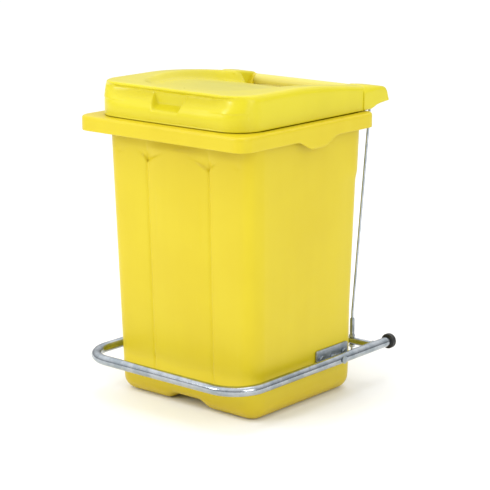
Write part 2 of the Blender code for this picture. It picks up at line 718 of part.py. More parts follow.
def make_crossbar():
    """Tube between the tails, with ends shaped to the legs and a slot for each lift rod."""
    end = LEG_X - 0.003
    left = (-end, CROSSBAR_Y, PEDAL_HEIGHT)
    bar = cylinder("rear_crossbar", CROSSBAR_RADIUS, left, (end, CROSSBAR_Y, PEDAL_HEIGHT), 20)
    left = (-LEG_X, CROSSBAR_Y, PEDAL_HEIGHT)
    bore = cylinder("bore", CROSSBAR_RADIUS - TUBE_WALL, left, (LEG_X, CROSSBAR_Y, PEDAL_HEIGHT), 16)
    cutters = [bore]
    for side in (-1, 1):
        start = (side * LEG_X, CROSSBAR_Y - 0.03, PEDAL_HEIGHT)
        cutters.append(
            cylinder("cope", TUBE_RADIUS + TOUCH, start, (side * LEG_X, CROSSBAR_Y + 0.03, PEDAL_HEIGHT), 32)
        )
        x = side * ROD_X
        half = ROD_RADIUS + RUN
        cutters.append(
            box(
                "slot",
                (x - half, CROSSBAR_Y - SLOT_HALF_LENGTH, PEDAL_HEIGHT - 0.02),
                (x + half, CROSSBAR_Y + SLOT_HALF_LENGTH, PEDAL_HEIGHT + 0.02),
            )
        )
    return zinc(combine(bar, cutters, "DIFFERENCE"))


def make_end_cap(side):
    """Black rubber plug with a mushroom head, pushed into the end of a leg."""
    shank = TUBE_RADIUS - TUBE_WALL - 2 * TOUCH
    profile = [(0, CAP_LENGTH)]
    edge = 0.005
    for step in range(5):
        angle = math.pi / 2 * step / 4
        profile.append(
            (CAP_RADIUS - edge + edge * math.sin(angle), CAP_LENGTH - edge + edge * math.cos(angle))
        )
    profile += [(CAP_RADIUS, TOUCH + 0.001), (CAP_RADIUS - 0.001, TOUCH), (shank, TOUCH)]
    profile += [(shank, -CAP_SHANK), (0, -CAP_SHANK)]
    place = (side * LEG_X, TAIL_Y, PEDAL_HEIGHT)
    cap = turned(sided("end_cap", side), profile, place, (0, 1, 0))
    return finish(cap, BLACK, 0.6, 0.0)


# ---- Pivot brackets ----


def make_bracket(side):
    """Flat steel plate bolted to the side of the bin, with a hole for the pivot bolt."""
    x = side * PLATE_X
    outer = x + side * PLATE_THICKNESS
    low = (min(x, outer), PIVOT_Y - PLATE_LENGTH / 2, PLATE_Z - PLATE_HEIGHT / 2)
    high = (max(x, outer), PIVOT_Y + PLATE_LENGTH / 2, PLATE_Z + PLATE_HEIGHT / 2)
    plate = box(sided("pivot_bracket", side), low, high)
    start = x - side * 0.01
    end = outer + side * 0.01
    holes = []
    for y in bolt_places():
        holes.append(cylinder("hole", BOLT_RADIUS + TOUCH, (start, y, PLATE_Z), (end, y, PLATE_Z), 16))
    pin_start = (start, PIVOT_Y, PEDAL_HEIGHT)
    holes.append(cylinder("hole", PIVOT_RADIUS + TOUCH, pin_start, (end, PIVOT_Y, PEDAL_HEIGHT), 16))
    return zinc(combine(plate, holes, "DIFFERENCE"))


def wall_inside(z_low):
    """The inner face of a side wall, at the lower edge of what is clamped against it."""
    return body_half_width(z_low) - WALL - TOUCH


def make_bracket_fasteners(side):
    """Two bolts with their washers and nuts, from outside the bracket to inside the bin."""
    pieces = []
    inside = side * wall_inside(PLATE_Z - WASHER_RADIUS)
    nut_at = inside - side * (WASHER_THICKNESS + TOUCH)
    head = side * (PLATE_X + PLATE_THICKNESS + TOUCH)
    tip = nut_at - side * (NUT_HEIGHT + BOLT_PAST_NUT)
    for place, y in zip(("_front", "_rear"), bolt_places()):
        end = sided("", side) + place
        shank_end = (head + side * 0.001, y, PLATE_Z)
        bolt = cylinder("bracket_bolt" + end, BOLT_RADIUS, (tip, y, PLATE_Z), shank_end, 16)
        cap = cylinder(
            "head", BOLT_HEAD_RADIUS, (head, y, PLATE_Z), (head + side * BOLT_HEAD_HEIGHT, y, PLATE_Z), 6
        )
        washer_end = (inside - side * WASHER_THICKNESS, y, PLATE_Z)
        washer = cylinder("bracket_washer" + end, WASHER_RADIUS, (inside, y, PLATE_Z), washer_end, 20)
        nut_end = (nut_at - side * NUT_HEIGHT, y, PLATE_Z)
        nut = cylinder("bracket_nut" + end, NUT_RADIUS, (nut_at, y, PLATE_Z), nut_end, 6)
        pieces.append(zinc(combine(bolt, [cap], "UNION")))
        pieces.append(zinc(bored(washer, BOLT_RADIUS + TOUCH, inside, y, PLATE_Z)))
        pieces.append(zinc(bored(nut, BOLT_RADIUS + TOUCH, nut_at, y, PLATE_Z)))
    return pieces


def bored(obj, radius, x, y, z):
    """Cuts a hole along X right through a small piece."""
    return combine(obj, [cylinder("bore", radius, (x - 0.03, y, z), (x + 0.03, y, z), 16)], "DIFFERENCE")


def make_pivot_bolt(side):
    """Bolt from inside the bin, through the wall, the bracket and the pedal's leg, with its head inside."""
    head = wall_inside(PEDAL_HEIGHT - PIVOT_HEAD_RADIUS)
    tip = LEG_X + TUBE_RADIUS + PIVOT_CAP_HEIGHT - 0.0015
    shank = cylinder(
        sided("pivot_bolt", side), PIVOT_RADIUS,
        (side * (head - 0.001), PIVOT_Y, PEDAL_HEIGHT), (side * tip, PIVOT_Y, PEDAL_HEIGHT), 16,
    )
    cap = cylinder(
        "head", PIVOT_HEAD_RADIUS, (side * head, PIVOT_Y, PEDAL_HEIGHT),
        (side * (head - PIVOT_HEAD_HEIGHT), PIVOT_Y, PEDAL_HEIGHT), 6,
    )
    return zinc(combine(shank, [cap], "UNION"))


def make_pivot_bush(side):
    """Spacer that keeps the leg clear of the bracket."""
    start = side * (PLATE_X + PLATE_THICKNESS + TOUCH)
    end = side * (LEG_X - TUBE_RADIUS - TOUCH)
    bush = cylinder(
        sided("pivot_bush", side), BUSH_RADIUS, (start, PIVOT_Y, PEDAL_HEIGHT), (end, PIVOT_Y, PEDAL_HEIGHT)
    )
    return zinc(bored(bush, PIVOT_RADIUS + TOUCH, start, PIVOT_Y, PEDAL_HEIGHT))


def make_pivot_cap(side):
    """Low domed nut on the outer end of the pivot bolt."""
    depth = PIVOT_CAP_HEIGHT - TOUCH
    bore = PIVOT_RADIUS + TOUCH
    profile = [(0, depth), (PIVOT_CAP_RADIUS * 0.6, depth - 0.0003), (PIVOT_CAP_RADIUS, depth - 0.0015)]
    profile += [(PIVOT_CAP_RADIUS, 0), (bore, 0), (bore, depth - 0.0009), (0, depth - 0.0009)]
    place = (side * (LEG_X + TUBE_RADIUS + TOUCH), PIVOT_Y, PEDAL_HEIGHT)
    return zinc(turned(sided("pivot_cap", side), profile, place, (side, 0, 0)))


# ---- Lift rods ----


def rod_path(side):
    """Straight up through the crossbar, a slight lean up to the lid, then a hook inward through the lug."""
    low = (side * ROD_X, CROSSBAR_Y, PEDAL_HEIGHT - ROD_BELOW_CROSSBAR)
    straight = (side * ROD_X, CROSSBAR_Y, ROD_STRAIGHT_TOP)
    points = [low, straight]
    for step in range(7):
        angle = math.pi / 2 * step / 6
        x = ROD_TOP_X - HOOK_BEND * (1 - math.cos(angle))
        z = HOOK_Z - HOOK_BEND * (1 - math.sin(angle))
        points.append((side * x, HOOK_Y, z))
    end = LUG_X - LUG_THICKNESS - HOOK_END_PAST_LUG
    return points + [(side * end, HOOK_Y, HOOK_Z)]


def make_lift_rod(side):
    return zinc(bar_along(sided("lift_rod", side), rod_path(side), ROD_RADIUS, 3))


def ring_on_rod(name, radius, side, z_low, height, segments):
    """A nut or sleeve on the rod's upright lower end."""
    x = side * ROD_X
    outer = cylinder(name, radius, (x, CROSSBAR_Y, z_low), (x, CROSSBAR_Y, z_low + height), segments)
    hole = cylinder(
        "bore", ROD_RADIUS + TOUCH, (x, CROSSBAR_Y, z_low - 0.01), (x, CROSSBAR_Y, z_low + height + 0.01), 16
    )
    return combine(outer, [hole], "DIFFERENCE")


def make_rod_hardware(side):
    """Sleeve and two nuts that hold the rod in the crossbar, and the clip on its hook."""
    above = PEDAL_HEIGHT + CROSSBAR_RADIUS + TOUCH
    below = PEDAL_HEIGHT - CROSSBAR_RADIUS - TOUCH - ROD_NUT_HEIGHT
    nuts = []
    for place, z in (("_lower", below), ("_upper", above)):
        name = sided("rod_nut", side) + place
        nuts.append(zinc(ring_on_rod(name, ROD_NUT_RADIUS, side, z, ROD_NUT_HEIGHT, 6)))
    sleeve_low = above + ROD_NUT_HEIGHT + TOUCH
    sleeve = ring_on_rod(sided("rod_sleeve", side), SLEEVE_RADIUS, side, sleeve_low, SLEEVE_LENGTH, 16)
    face = LUG_X - LUG_THICKNESS - 0.0022
    clip = cylinder(
        sided("rod_clip", side), CLIP_RADIUS * 0.75, (side * face, HOOK_Y, HOOK_Z),
        (side * (face - CLIP_THICKNESS), HOOK_Y, HOOK_Z), 16,
    )
    return [*nuts, zinc(sleeve), zinc(bored(clip, ROD_RADIUS + TOUCH, side * face, HOOK_Y, HOOK_Z))]


# ---- Assembly ----


def axis_empty(name, place, parent):
    """An empty on a joint's axis, which carries the pieces that turn about it."""
    empty = link(name, None)
    empty.empty_display_size = 0.03
    hang(empty, parent)
    empty.location = Vector(place) - Vector(parent["bin_place"])
    empty["bin_place"] = list(place)
    return empty


def hang(obj, parent):
    obj.parent = parent
    if obj.data is not None:
        obj.location = -Vector(parent["bin_place"])


def build():
    clear_scene()
    origin = link("bin_origin", None)
    origin.location = (0, FOOTPRINT_SHIFT, 0)
    origin["bin_place"] = [0.0, 0.0, 0.0]

    fixed = [make_bin_body(), make_grip_bar()]
    pedal = [make_pedal_frame(), make_crossbar()]
    on_lid = [make_lid(), make_axle()]
    rods = {}
    for side in (-1, 1):
        fixed += [make_bracket(side), *make_bracket_fasteners(side)]
        fixed += [make_pivot_bolt(side), make_pivot_bush(side), make_pivot_cap(side)]
        on_lid.append(make_axle_clip(side))
        pedal.append(make_end_cap(side))
        rods[side] = [make_lift_rod(side), *make_rod_hardware(side)]

    lid_hinge = axis_empty("lid_hinge", (0, HINGE_Y, HINGE_Z), origin)
    pedal_pivot = axis_empty("pedal_pivot", (0, PIVOT_Y, PEDAL_HEIGHT), origin)
    for obj in fixed:
        hang(obj, origin)
    for obj in on_lid:
        hang(obj, lid_hinge)
    for obj in pedal:
        hang(obj, pedal_pivot)
    for side in (-1, 1):
        place = (side * ROD_X, CROSSBAR_Y, PEDAL_HEIGHT)
        rod_hinge = axis_empty(sided("rod_hinge", side), place, pedal_pivot)
        for obj in rods[side]:
            hang(obj, rod_hinge)


build()
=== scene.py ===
"""A yellow pedal bin of about 70 litres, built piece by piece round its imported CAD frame."""

import json
import math

import bmesh
import bpy
import numpy as np
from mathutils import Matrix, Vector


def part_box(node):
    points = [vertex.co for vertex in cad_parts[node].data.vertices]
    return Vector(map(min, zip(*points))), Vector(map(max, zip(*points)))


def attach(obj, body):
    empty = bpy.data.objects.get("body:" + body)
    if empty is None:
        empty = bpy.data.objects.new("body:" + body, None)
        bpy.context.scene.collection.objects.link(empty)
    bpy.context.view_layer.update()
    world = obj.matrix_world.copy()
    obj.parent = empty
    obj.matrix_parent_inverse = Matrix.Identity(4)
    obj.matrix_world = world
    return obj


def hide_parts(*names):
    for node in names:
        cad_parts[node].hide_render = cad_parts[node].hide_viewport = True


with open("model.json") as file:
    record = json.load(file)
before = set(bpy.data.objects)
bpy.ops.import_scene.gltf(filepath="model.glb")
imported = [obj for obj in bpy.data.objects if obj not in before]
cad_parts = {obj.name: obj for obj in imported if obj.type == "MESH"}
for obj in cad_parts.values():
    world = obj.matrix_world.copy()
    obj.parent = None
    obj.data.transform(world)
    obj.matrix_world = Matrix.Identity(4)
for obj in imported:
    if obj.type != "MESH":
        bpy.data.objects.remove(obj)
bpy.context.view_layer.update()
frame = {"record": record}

# ---- Bin body ----
# One moulding in high-density polyethylene: a tapered tub with a turned-down rim. The front is split by two
# grooves into three arched panels, and a channel runs from front to back under the base. It is injection
# moulded, so every edge is rounded and every wall is 3 mm thick.

body_low, body_high = (np.array(corner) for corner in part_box("bin_body"))
hinge_y, hinge_z = frame["record"]["behaviour"]["joints"][0]["pos_m"][1:]
hinge_from_middle = 0.23787
bin_y = hinge_y - hinge_from_middle  # the tub's own centre line, from front to back
wall = 0.003
rim_top = 0.5903
rim_half_width = body_high[0]
rim_front = bin_y - body_low[1]
rim_rear = 0.18787
base_fillet = 0.030


def ring_template(across, along, turn, dense_across=(), dense_along=()):
    """Rounded rectangle as shares: (sx, sy) picks a corner centre or a point between two, (nx, ny) faces out.

    A point is corner centre times share, plus corner radius times the outward direction.
    """

    def stations(count, dense):
        parts = [np.linspace(-1, 1, count)] + [np.linspace(low, high, n) for low, high, n in dense]
        return np.unique(np.round(np.concatenate(parts), 5))

    wide = stations(across, dense_across)
    deep = stations(along, dense_along)
    quarter = np.linspace(0, np.pi / 2, turn + 2)[1:-1]
    one = np.ones_like
    pieces = [
        (wide, -one(wide), 0 * wide, -one(wide)),
        (one(quarter), -one(quarter), np.sin(quarter), -np.cos(quarter)),
        (one(deep), deep, one(deep), 0 * deep),
        (one(quarter), one(quarter), np.cos(quarter), np.sin(quarter)),
        (wide[::-1], one(wide), 0 * wide, one(wide)),
        (-one(quarter), one(quarter), -np.sin(quarter), np.cos(quarter)),
        (-one(deep), deep[::-1], -one(deep), 0 * deep),
        (-one(quarter), -one(quarter), -np.cos(quarter), -np.sin(quarter)),
    ]
    return tuple(np.concatenate(parts) for parts in zip(*pieces))


def ring_points(template, half_width, front, rear, front_corner, rear_corner):
    """Rings of one rounded rectangle per level: the sizes are columns, the template is a row."""
    sx, sy, nx, ny = template
    corner = front_corner * (1 - sy) / 2 + rear_corner * (1 + sy) / 2
    x = sx * (half_width - corner) + corner * nx
    y = (rear - corner) * (1 + sy) / 2 - (front - corner) * (1 - sy) / 2 + corner * ny
    return x, y


def ease(low, high, value):
    """Rises smoothly from 0 at low to 1 at high, as three t squared minus two t cubed."""
    t = np.clip((value - low) / (high - low), 0, 1)
    return t * t * (3 - 2 * t)


def skin(name, grid, around=True, turned_in=False, sharp=40):
    """Faces between neighbouring rows and columns of a grid of points, with poles and seams merged."""
    rows, columns = grid.shape[:2]
    index = np.arange(rows * columns).reshape(rows, columns)
    after = np.roll(index, -1, axis=1) if around else index[:, 1:]
    before = index if around else index[:, :-1]
    faces = np.stack([before[:-1], after[:-1], after[1:], before[1:]], axis=-1).reshape(-1, 4)
    mesh = bpy.data.meshes.new(name)
    mesh.from_pydata(grid.reshape(-1, 3), [], (faces[:, ::-1] if turned_in else faces).tolist())
    return piece_from(name, mesh, sharp=sharp)


def piece_from(name, mesh, face_out=False, sharp=40):
    """Makes the mesh an object with smooth faces, and sharp edges only where two faces meet steeply."""
    shape = bmesh.new()
    shape.from_mesh(mesh)
    bmesh.ops.remove_doubles(shape, verts=shape.verts, dist=2e-6)
    bmesh.ops.dissolve_degenerate(shape, edges=shape.edges, dist=1e-7)
    if face_out:
        bmesh.ops.recalc_face_normals(shape, faces=shape.faces)
    shape.to_mesh(mesh)
    shape.free()
    mesh.shade_smooth()
    mesh.set_sharp_from_angle(angle=math.radians(sharp))
    obj = bpy.data.objects.new(name, mesh)
    bpy.context.scene.collection.objects.link(obj)
    return obj


def base_channel(x, z):
    """Lift of the base between its feet: a flat roof with sloping sides, fading out 40 mm up the wall."""
    roof = 1 - ease(0.031, 0.063, np.abs(x))
    return 0.014 * roof * np.clip(1 - z / 0.040, 0, 1)


def panel_relief(x, z):
    """Outward relief of the front: crowned panels, a groove between each two, arched tops and pockets.

    Each arch is a parabola across its panel. Above it, up to a level line, the wall steps back.
    """
    groove_depth, groove_width, pocket_depth, foot_depth, pad_height = 0.0017, 0.0030, 0.0038, 0.0012, 0.0005
    groove_x = 0.0794 + 0.0070 * z
    off = np.abs(x) - groove_x
    groove = -groove_depth * np.exp(-((off / groove_width) ** 2)) * (1 - 0.8 * ease(0.505, 0.530, z))
    middle = np.clip(np.abs(x) / groove_x, 0, 1)
    outer = np.clip(np.abs(np.abs(x) - 0.125) / 0.044, 0, 1)
    inside = np.where(off < 0, middle, outer)
    crown = 0.0042 * (1 - inside**2) * ease(0.060, 0.300, z) * np.where(off < 0, 1, 0.3)
    arch = 0.5280 - 0.0270 * inside**2
    pocket = ease(-0.0015, 0.0030, z - arch) * (1 - ease(0.514, 0.532, z)) * ease(0.20, 1.0, inside)
    foot = 1 - ease(0.080, 0.090, z - 0.012 * middle**2 * (off < 0))
    pad = (1 - ease(0.0565, 0.0590, np.abs(x))) * ease(0.344, 0.347, z) * (1 - ease(0.444, 0.447, z))
    fade = (1 - ease(0.531, 0.548, z)) * ease(0.040, 0.075, z) * (1 - ease(0.150, 0.168, np.abs(x)))
    return fade * (groove + crown - pocket_depth * pocket - foot_depth * foot) + pad_height * pad


def rear_ledge(y, z):
    """The rear third of the tub is about 3 mm slimmer below a soft ledge at two thirds of its height."""
    return -0.0030 * (1 - ease(0.445, 0.472, z)) * ease(0.090, 0.150, y) * ease(0.05, 0.20, z)


def tub_levels():
    """(inset, height, scale, rim share, drop share) for each ring of the section, as five arrays.

    The section runs under the base, up the outside, round the rim and down the inside to the middle again.
    """
    turn = np.linspace(0, np.pi / 2, 9)
    half = np.linspace(0, np.pi, 9)
    rim_round, mouth_round, skirt_bottom = 0.0060, 0.0030, 0.5615
    rows = []

    def add(inset, z, scale=1.0, rim=0.0, drop=0.0):
        rows.append(np.stack(np.broadcast_arrays(inset, z, scale, rim, drop), axis=-1).reshape(-1, 5))

    add(base_fillet, 0.0, np.linspace(0, 1, 12)[:-1])
    add(base_fillet * (1 - np.sin(turn)), base_fillet * (1 - np.cos(turn)))
    add(0.0, np.linspace(0.033, 0.105, 18))
    add(0.0, np.linspace(0.112, 0.480, 38))
    add(0.0, np.linspace(0.486, 0.548, 26))
    add(0.0, np.linspace(0.554, 0.583, 5))
    add(-0.0043 * (1 - np.cos(turn[1:])), rim_top - wall - 0.0043 * (1 - np.sin(turn[1:])))
    add(0.0045 - 0.0015 * np.sin(turn), rim_top - wall - 0.0015 * (1 - np.cos(turn)), rim=1.0)
    add(wall, np.linspace(0.583, 0.562, 4), rim=1.0, drop=np.linspace(0.1, 0.9, 4))
    add(wall / 2 * (1 + np.cos(half)), skirt_bottom - wall / 2 * np.sin(half), rim=1.0, drop=1.0)
    add(0.0, np.linspace(0.5640, 0.5830, 6), rim=1.0, drop=np.linspace(0.85, 0, 6))
    add(rim_round * (1 - np.cos(turn)), rim_top - rim_round * (1 - np.sin(turn)), rim=1.0)
    add(mouth_round * np.sin(turn), rim_top - mouth_round * (1 - np.cos(turn)))
    add(wall, np.linspace(0.580, 0.060, 40))
    inner = base_fillet - wall
    add(base_fillet - inner * np.sin(turn[::-1]), base_fillet - inner * np.cos(turn[::-1]))
    add(base_fillet, wall, np.linspace(1, 0, 12)[1:])
    return np.concatenate(rows).T[:, :, None]


def make_tub():
    """The moulding as one closed skin: each section ring is a rounded rectangle, then relief is added."""
    groove_at = [(side * 0.512 - 0.050, side * 0.512 + 0.050, 19) for side in (-1, 1)]
    channel_at = [(low, low + 0.22, 10) for low in (-0.42, 0.20)]
    template = ring_template(44, 22, 12, groove_at + channel_at, [(-0.50, 0.55, 30)])
    inset, z, scale, rim, drop = tub_levels()
    corner = np.maximum(0.035 - inset, 0.006)
    tub_x, tub_y = ring_points(
        template,
        0.1876 + 0.0213 * z - inset,
        0.1640 + 0.0300 * z - inset,
        0.1644 + 0.0257 * z - inset,
        corner,
        corner,
    )
    rim_x, rim_y = ring_points(
        template, rim_half_width - inset, rim_front - inset, rim_rear - inset, 0.0285 - inset, 0.0285 - inset
    )
    x = (tub_x * (1 - rim) + rim_x * rim) * scale
    y = (tub_y * (1 - rim) + rim_y * rim) * scale
    nx, ny = template[2:]
    tub_share = (1 - rim) * (scale == 1)
    ahead = np.clip(-ny, 0, 1) ** 4
    y = y - panel_relief(x, z) * ahead * tub_share
    ledge = rear_ledge(y, z) * tub_share
    x, y = x + ledge * nx, y + ledge * np.clip(ny, 0, 1)
    grip = 0.0185 * (1 - ease(0.016, 0.067, np.abs(y + 0.007))) * ease(0.75, 1.0, np.abs(nx))
    height = z + base_channel(x, z) * (1 - rim) - grip * drop
    return skin("bin_shell", np.stack([x, y + bin_y, height + 0 * x], axis=-1))


tub = make_tub()


class Value:
    """One output of a material's nodes. Sums and products with it add the Math nodes that work them out."""

    def __init__(self, finish, socket):
        self.finish = finish
        self.socket = socket

    def combine(self, operation, first, second):
        return self.finish.node("Math", {"operation": operation}, {0: first, 1: second})

    def __add__(self, other):
        return self.combine("ADD", self, other)

    def __rsub__(self, other):
        return self.combine("SUBTRACT", other, self)

    def __mul__(self, other):
        return self.combine("MULTIPLY", self, other)


class Finish:
    """A material for one kind of surface, with its Principled shader and one method for any other node."""

    def __init__(self, name, **constants):
        self.material = bpy.data.materials.new(name)
        self.material.use_nodes = True
        self.tree = self.material.node_tree
        self.shader = self.tree.nodes["Principled BSDF"]
        for socket, value in constants.items():
            self.feed(self.shader.inputs[socket.replace("_", " ")], value)
        self.place = self.node("TexCoord", output="Object")

    def feed(self, socket, value):
        if isinstance(value, Value):
            self.tree.links.new(value.socket, socket)
        else:
            socket.default_value = value

    def node(self, kind, settings=None, inputs=None, output=0):
        """Adds a node: its settings, then the values or links of its sockets, and returns one output."""
        made = self.tree.nodes.new("ShaderNode" + kind)
        for name, value in (settings or {}).items():
            setattr(made, name, value)
        for name, value in (inputs or {}).items():
            self.feed(made.inputs[name], value)
        return Value(self, made.outputs[output])

    def noise(self, scale, detail=2.0, roughness=0.5, stretch=(1, 1, 1)):
        """Cloudy pattern from 0 to 1, drawn out along the directions whose stretch is small."""
        place = self.node("Mapping", None, {"Vector": self.place, "Scale": stretch})
        inputs = {"Vector": place, "Scale": scale, "Detail": detail, "Roughness": roughness}
        return self.node("TexNoise", None, inputs)

    def step(self, value, low, high):
        """0 under low, 1 over high."""
        settings = {"interpolation_type": "SMOOTHSTEP"}
        return self.node("MapRange", settings, {"Value": value, "From Min": low, "From Max": high})

    def blend(self, share, first, second):
        """A colour between two, by share."""
        return self.node("Mix", {"data_type": "RGBA"}, {"Factor": share, 6: first, 7: second}, output=2)

    def height(self):
        return self.node("SeparateXYZ", None, {"Vector": self.place}, output="Z")

    def relief(self, value, distance, normal=None):
        """Bumps of that depth in metres, on top of an earlier relief if there is one."""
        inputs = {"Height": value, "Distance": distance, "Strength": 1.0}
        if normal is not None:
            inputs["Normal"] = normal
        return self.node("Bump", None, inputs)

    def put(self, socket, value):
        self.feed(self.shader.inputs[socket], value)

    def on(self, *objects):
        """Makes this the only material of each object."""
        for obj in objects:
            obj.data.materials.clear()
            obj.data.materials.append(self.material)


def yellow_plastic(name, light, deep, gloss):
    """Moulded polyethylene: fine eroded grain, slight sink marks, scuffs and painted shade: a deeper orange
    near the floor.
    """
    finish = Finish(name, IOR=1.48, Specular_IOR_Level=0.36)
    clouds = finish.noise(7.0, 3.0)
    flow = finish.noise(16.0, 2.0, stretch=(1.0, 1.0, 0.12))
    scuffs = finish.step(finish.noise(150.0, 4.0, 0.7, (1.0, 1.0, 0.16)), 0.66, 0.74)
    colour = finish.blend(finish.step(clouds * 0.6 + flow * 0.4, 0.36, 0.64), light, deep)
    # painted shade: below about 10 cm the colour turns a deeper orange, standing in for the shade under the
    # pedal tube near the floor
    low = 1 - finish.step(finish.height() + clouds * 0.03, 0.020, 0.100)
    colour = finish.blend(low * 0.55, colour, (0.560, 0.390, 0.010, 1))
    finish.put("Base Color", finish.blend(scuffs * 0.16, colour, (0.74, 0.66, 0.16, 1)))
    finish.put("Roughness", finish.noise(60.0, 3.0) * 0.10 + scuffs * 0.14 + gloss)
    sinks = finish.relief(clouds, 0.0011)
    grain = finish.relief(finish.noise(1500.0, 1.0), 0.00003, sinks)
    finish.put("Normal", grain)
    return finish


tub_plastic = yellow_plastic("tub_polyethylene", (0.670, 0.535, 0.013, 1), (0.645, 0.505, 0.010, 1), 0.34)
tub_plastic.on(tub)
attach(tub, "bin")
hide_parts("bin_body")

# ---- Hinge arms ----
# Two flat webs that grow from the rear of the rim and end in round knuckles on the hinge line. They are part
# of the same moulding as the tub, 10 mm thick with softened edges.


def filleted(corners, radii, steps=8, closed=True):
    """Line through the corners with each corner rounded to its radius, as arcs between tangent points."""
    corners = np.asarray(corners, dtype=float)
    points = []
    count = len(corners)
    for i in range(count):
        radius = radii[i] if np.ndim(radii) else radii
        if radius <= 0 or (not closed and i in (0, count - 1)):
            points.append(corners[i : i + 1])
            continue
        back = corners[i - 1] - corners[i]
        ahead = corners[(i + 1) % count] - corners[i]
        back, ahead = back / np.linalg.norm(back), ahead / np.linalg.norm(ahead)
        half = np.arccos(np.clip(back @ ahead, -1, 1)) / 2
        middle = (back + ahead) / np.linalg.norm(back + ahead)
        centre = corners[i] + middle * radius / np.sin(half)
        start = corners[i] + back * radius / np.tan(half) - centre
        end = corners[i] + ahead * radius / np.tan(half) - centre
        sweep = np.pi - 2 * half
        share = np.linspace(0, 1, steps)[:, None]
        arc = (np.sin((1 - share) * sweep) * start + np.sin(share * sweep) * end) / np.sin(sweep)
        points.append(centre + arc)
    return np.concatenate(points)


def slab(name, outline, x_from, x_to, edge=0.0008):
    """A flat outline in Y and Z given a thickness along X, its two rims rounded by a quarter circle."""
    outline = np.asarray(outline)
    along = np.roll(outline, -1, axis=0) - np.roll(outline, 1, axis=0)
    along = along / np.maximum(np.linalg.norm(along, axis=1, keepdims=True), 1e-9)
    out = np.stack([along[:, 1], -along[:, 0]], axis=1)
    area = np.sum(outline[:, 0] * np.roll(outline[:, 1], -1) - outline[:, 1] * np.roll(outline[:, 0], -1))
    out = out * np.sign(area)
    low, high = sorted((x_from, x_to))
    turn = np.linspace(0, np.pi / 2, 4)
    inset = np.concatenate([edge * (1 - np.sin(turn)), edge * (1 - np.sin(turn[::-1]))])
    x = np.concatenate([low + edge * (1 - np.cos(turn)), high - edge * (1 - np.cos(turn[::-1]))])
    rings = outline[None] - inset[:, None, None] * out[None]
    grid = np.concatenate([np.broadcast_to(x[:, None, None], rings.shape[:2] + (1,)), rings], axis=-1)
    rows, columns = grid.shape[:2]
    index = np.arange(rows * columns).reshape(rows, columns)
    after = np.roll(index, -1, axis=1)
    faces = np.stack([index[:-1], after[:-1], after[1:], index[1:]], axis=-1).reshape(-1, 4).tolist()
    mesh = bpy.data.meshes.new(name)
    mesh.from_pydata(grid.reshape(-1, 3), [], faces + [index[0][::-1].tolist(), index[-1].tolist()])
    return piece_from(name, mesh, face_out=True)


def arm_outline():
    """Web from the rear skirt to the knuckle: straight lower and upper edges and a round end."""
    turn = np.radians(np.linspace(-62, 140, 40))
    knuckle = np.stack([hinge_y + 0.0135 * np.cos(turn), hinge_z + 0.0135 * np.sin(turn)], axis=1)
    root_y = bin_y + rim_rear - 0.0015
    lower = [(root_y, 0.5640), (root_y + 0.007, 0.5640)]
    upper = [(root_y + 0.0125, rim_top - 0.0008), (root_y, rim_top - 0.0030)]
    return np.concatenate([lower, knuckle, upper])


for side, word in ((-1, "left"), (1, "right")):
    arm = slab("hinge_arm_" + word, arm_outline(), side * 0.1410, side * 0.1510, 0.0012)
    tub_plastic.on(arm)
    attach(arm, "bin")

# ---- Lid ----
# A dished shell in the same plastic, 3 mm thick. Its front wall draws in to a cove under a lip, with a
# finger pocket in the middle, and its top falls in one curve from the front to the hinge.

lid_edge = 0.5920
lid_top = 0.6615
lid_half_width = 0.19897
lid_front = 0.2156
lid_rear = 0.1949


def crest(y):
    """Height of the lid's crest: level, then falling with distance to the power one and a half."""
    return lid_top - 0.196 * np.maximum(y + 0.040, 0) ** 1.5


def dish(x, y):
    """Depth under the crest: a rolled edge on a curved outline, then a floor that slopes down to the rear."""
    reach = 0.178 - 0.73 * np.maximum(0.123 - y, 0) ** 2 - 0.026 * ease(0.125, 0.190, y)
    from_side = reach - np.abs(x)
    from_front = y + 0.180
    near = np.hypot(np.maximum(0.060 - from_side, 0), np.maximum(0.060 - from_front, 0))
    within = 0.060 - near
    depth = 0.0080 + 0.0165 * np.clip((y + 0.170) / 0.365, 0, 1) ** 1.2
    floor = 0.0010 * (1 - np.clip(np.abs(x) / 0.16, 0, 1) ** 2)
    return depth * ease(0.0, 0.0210, within) - floor * ease(0.02, 0.06, within)


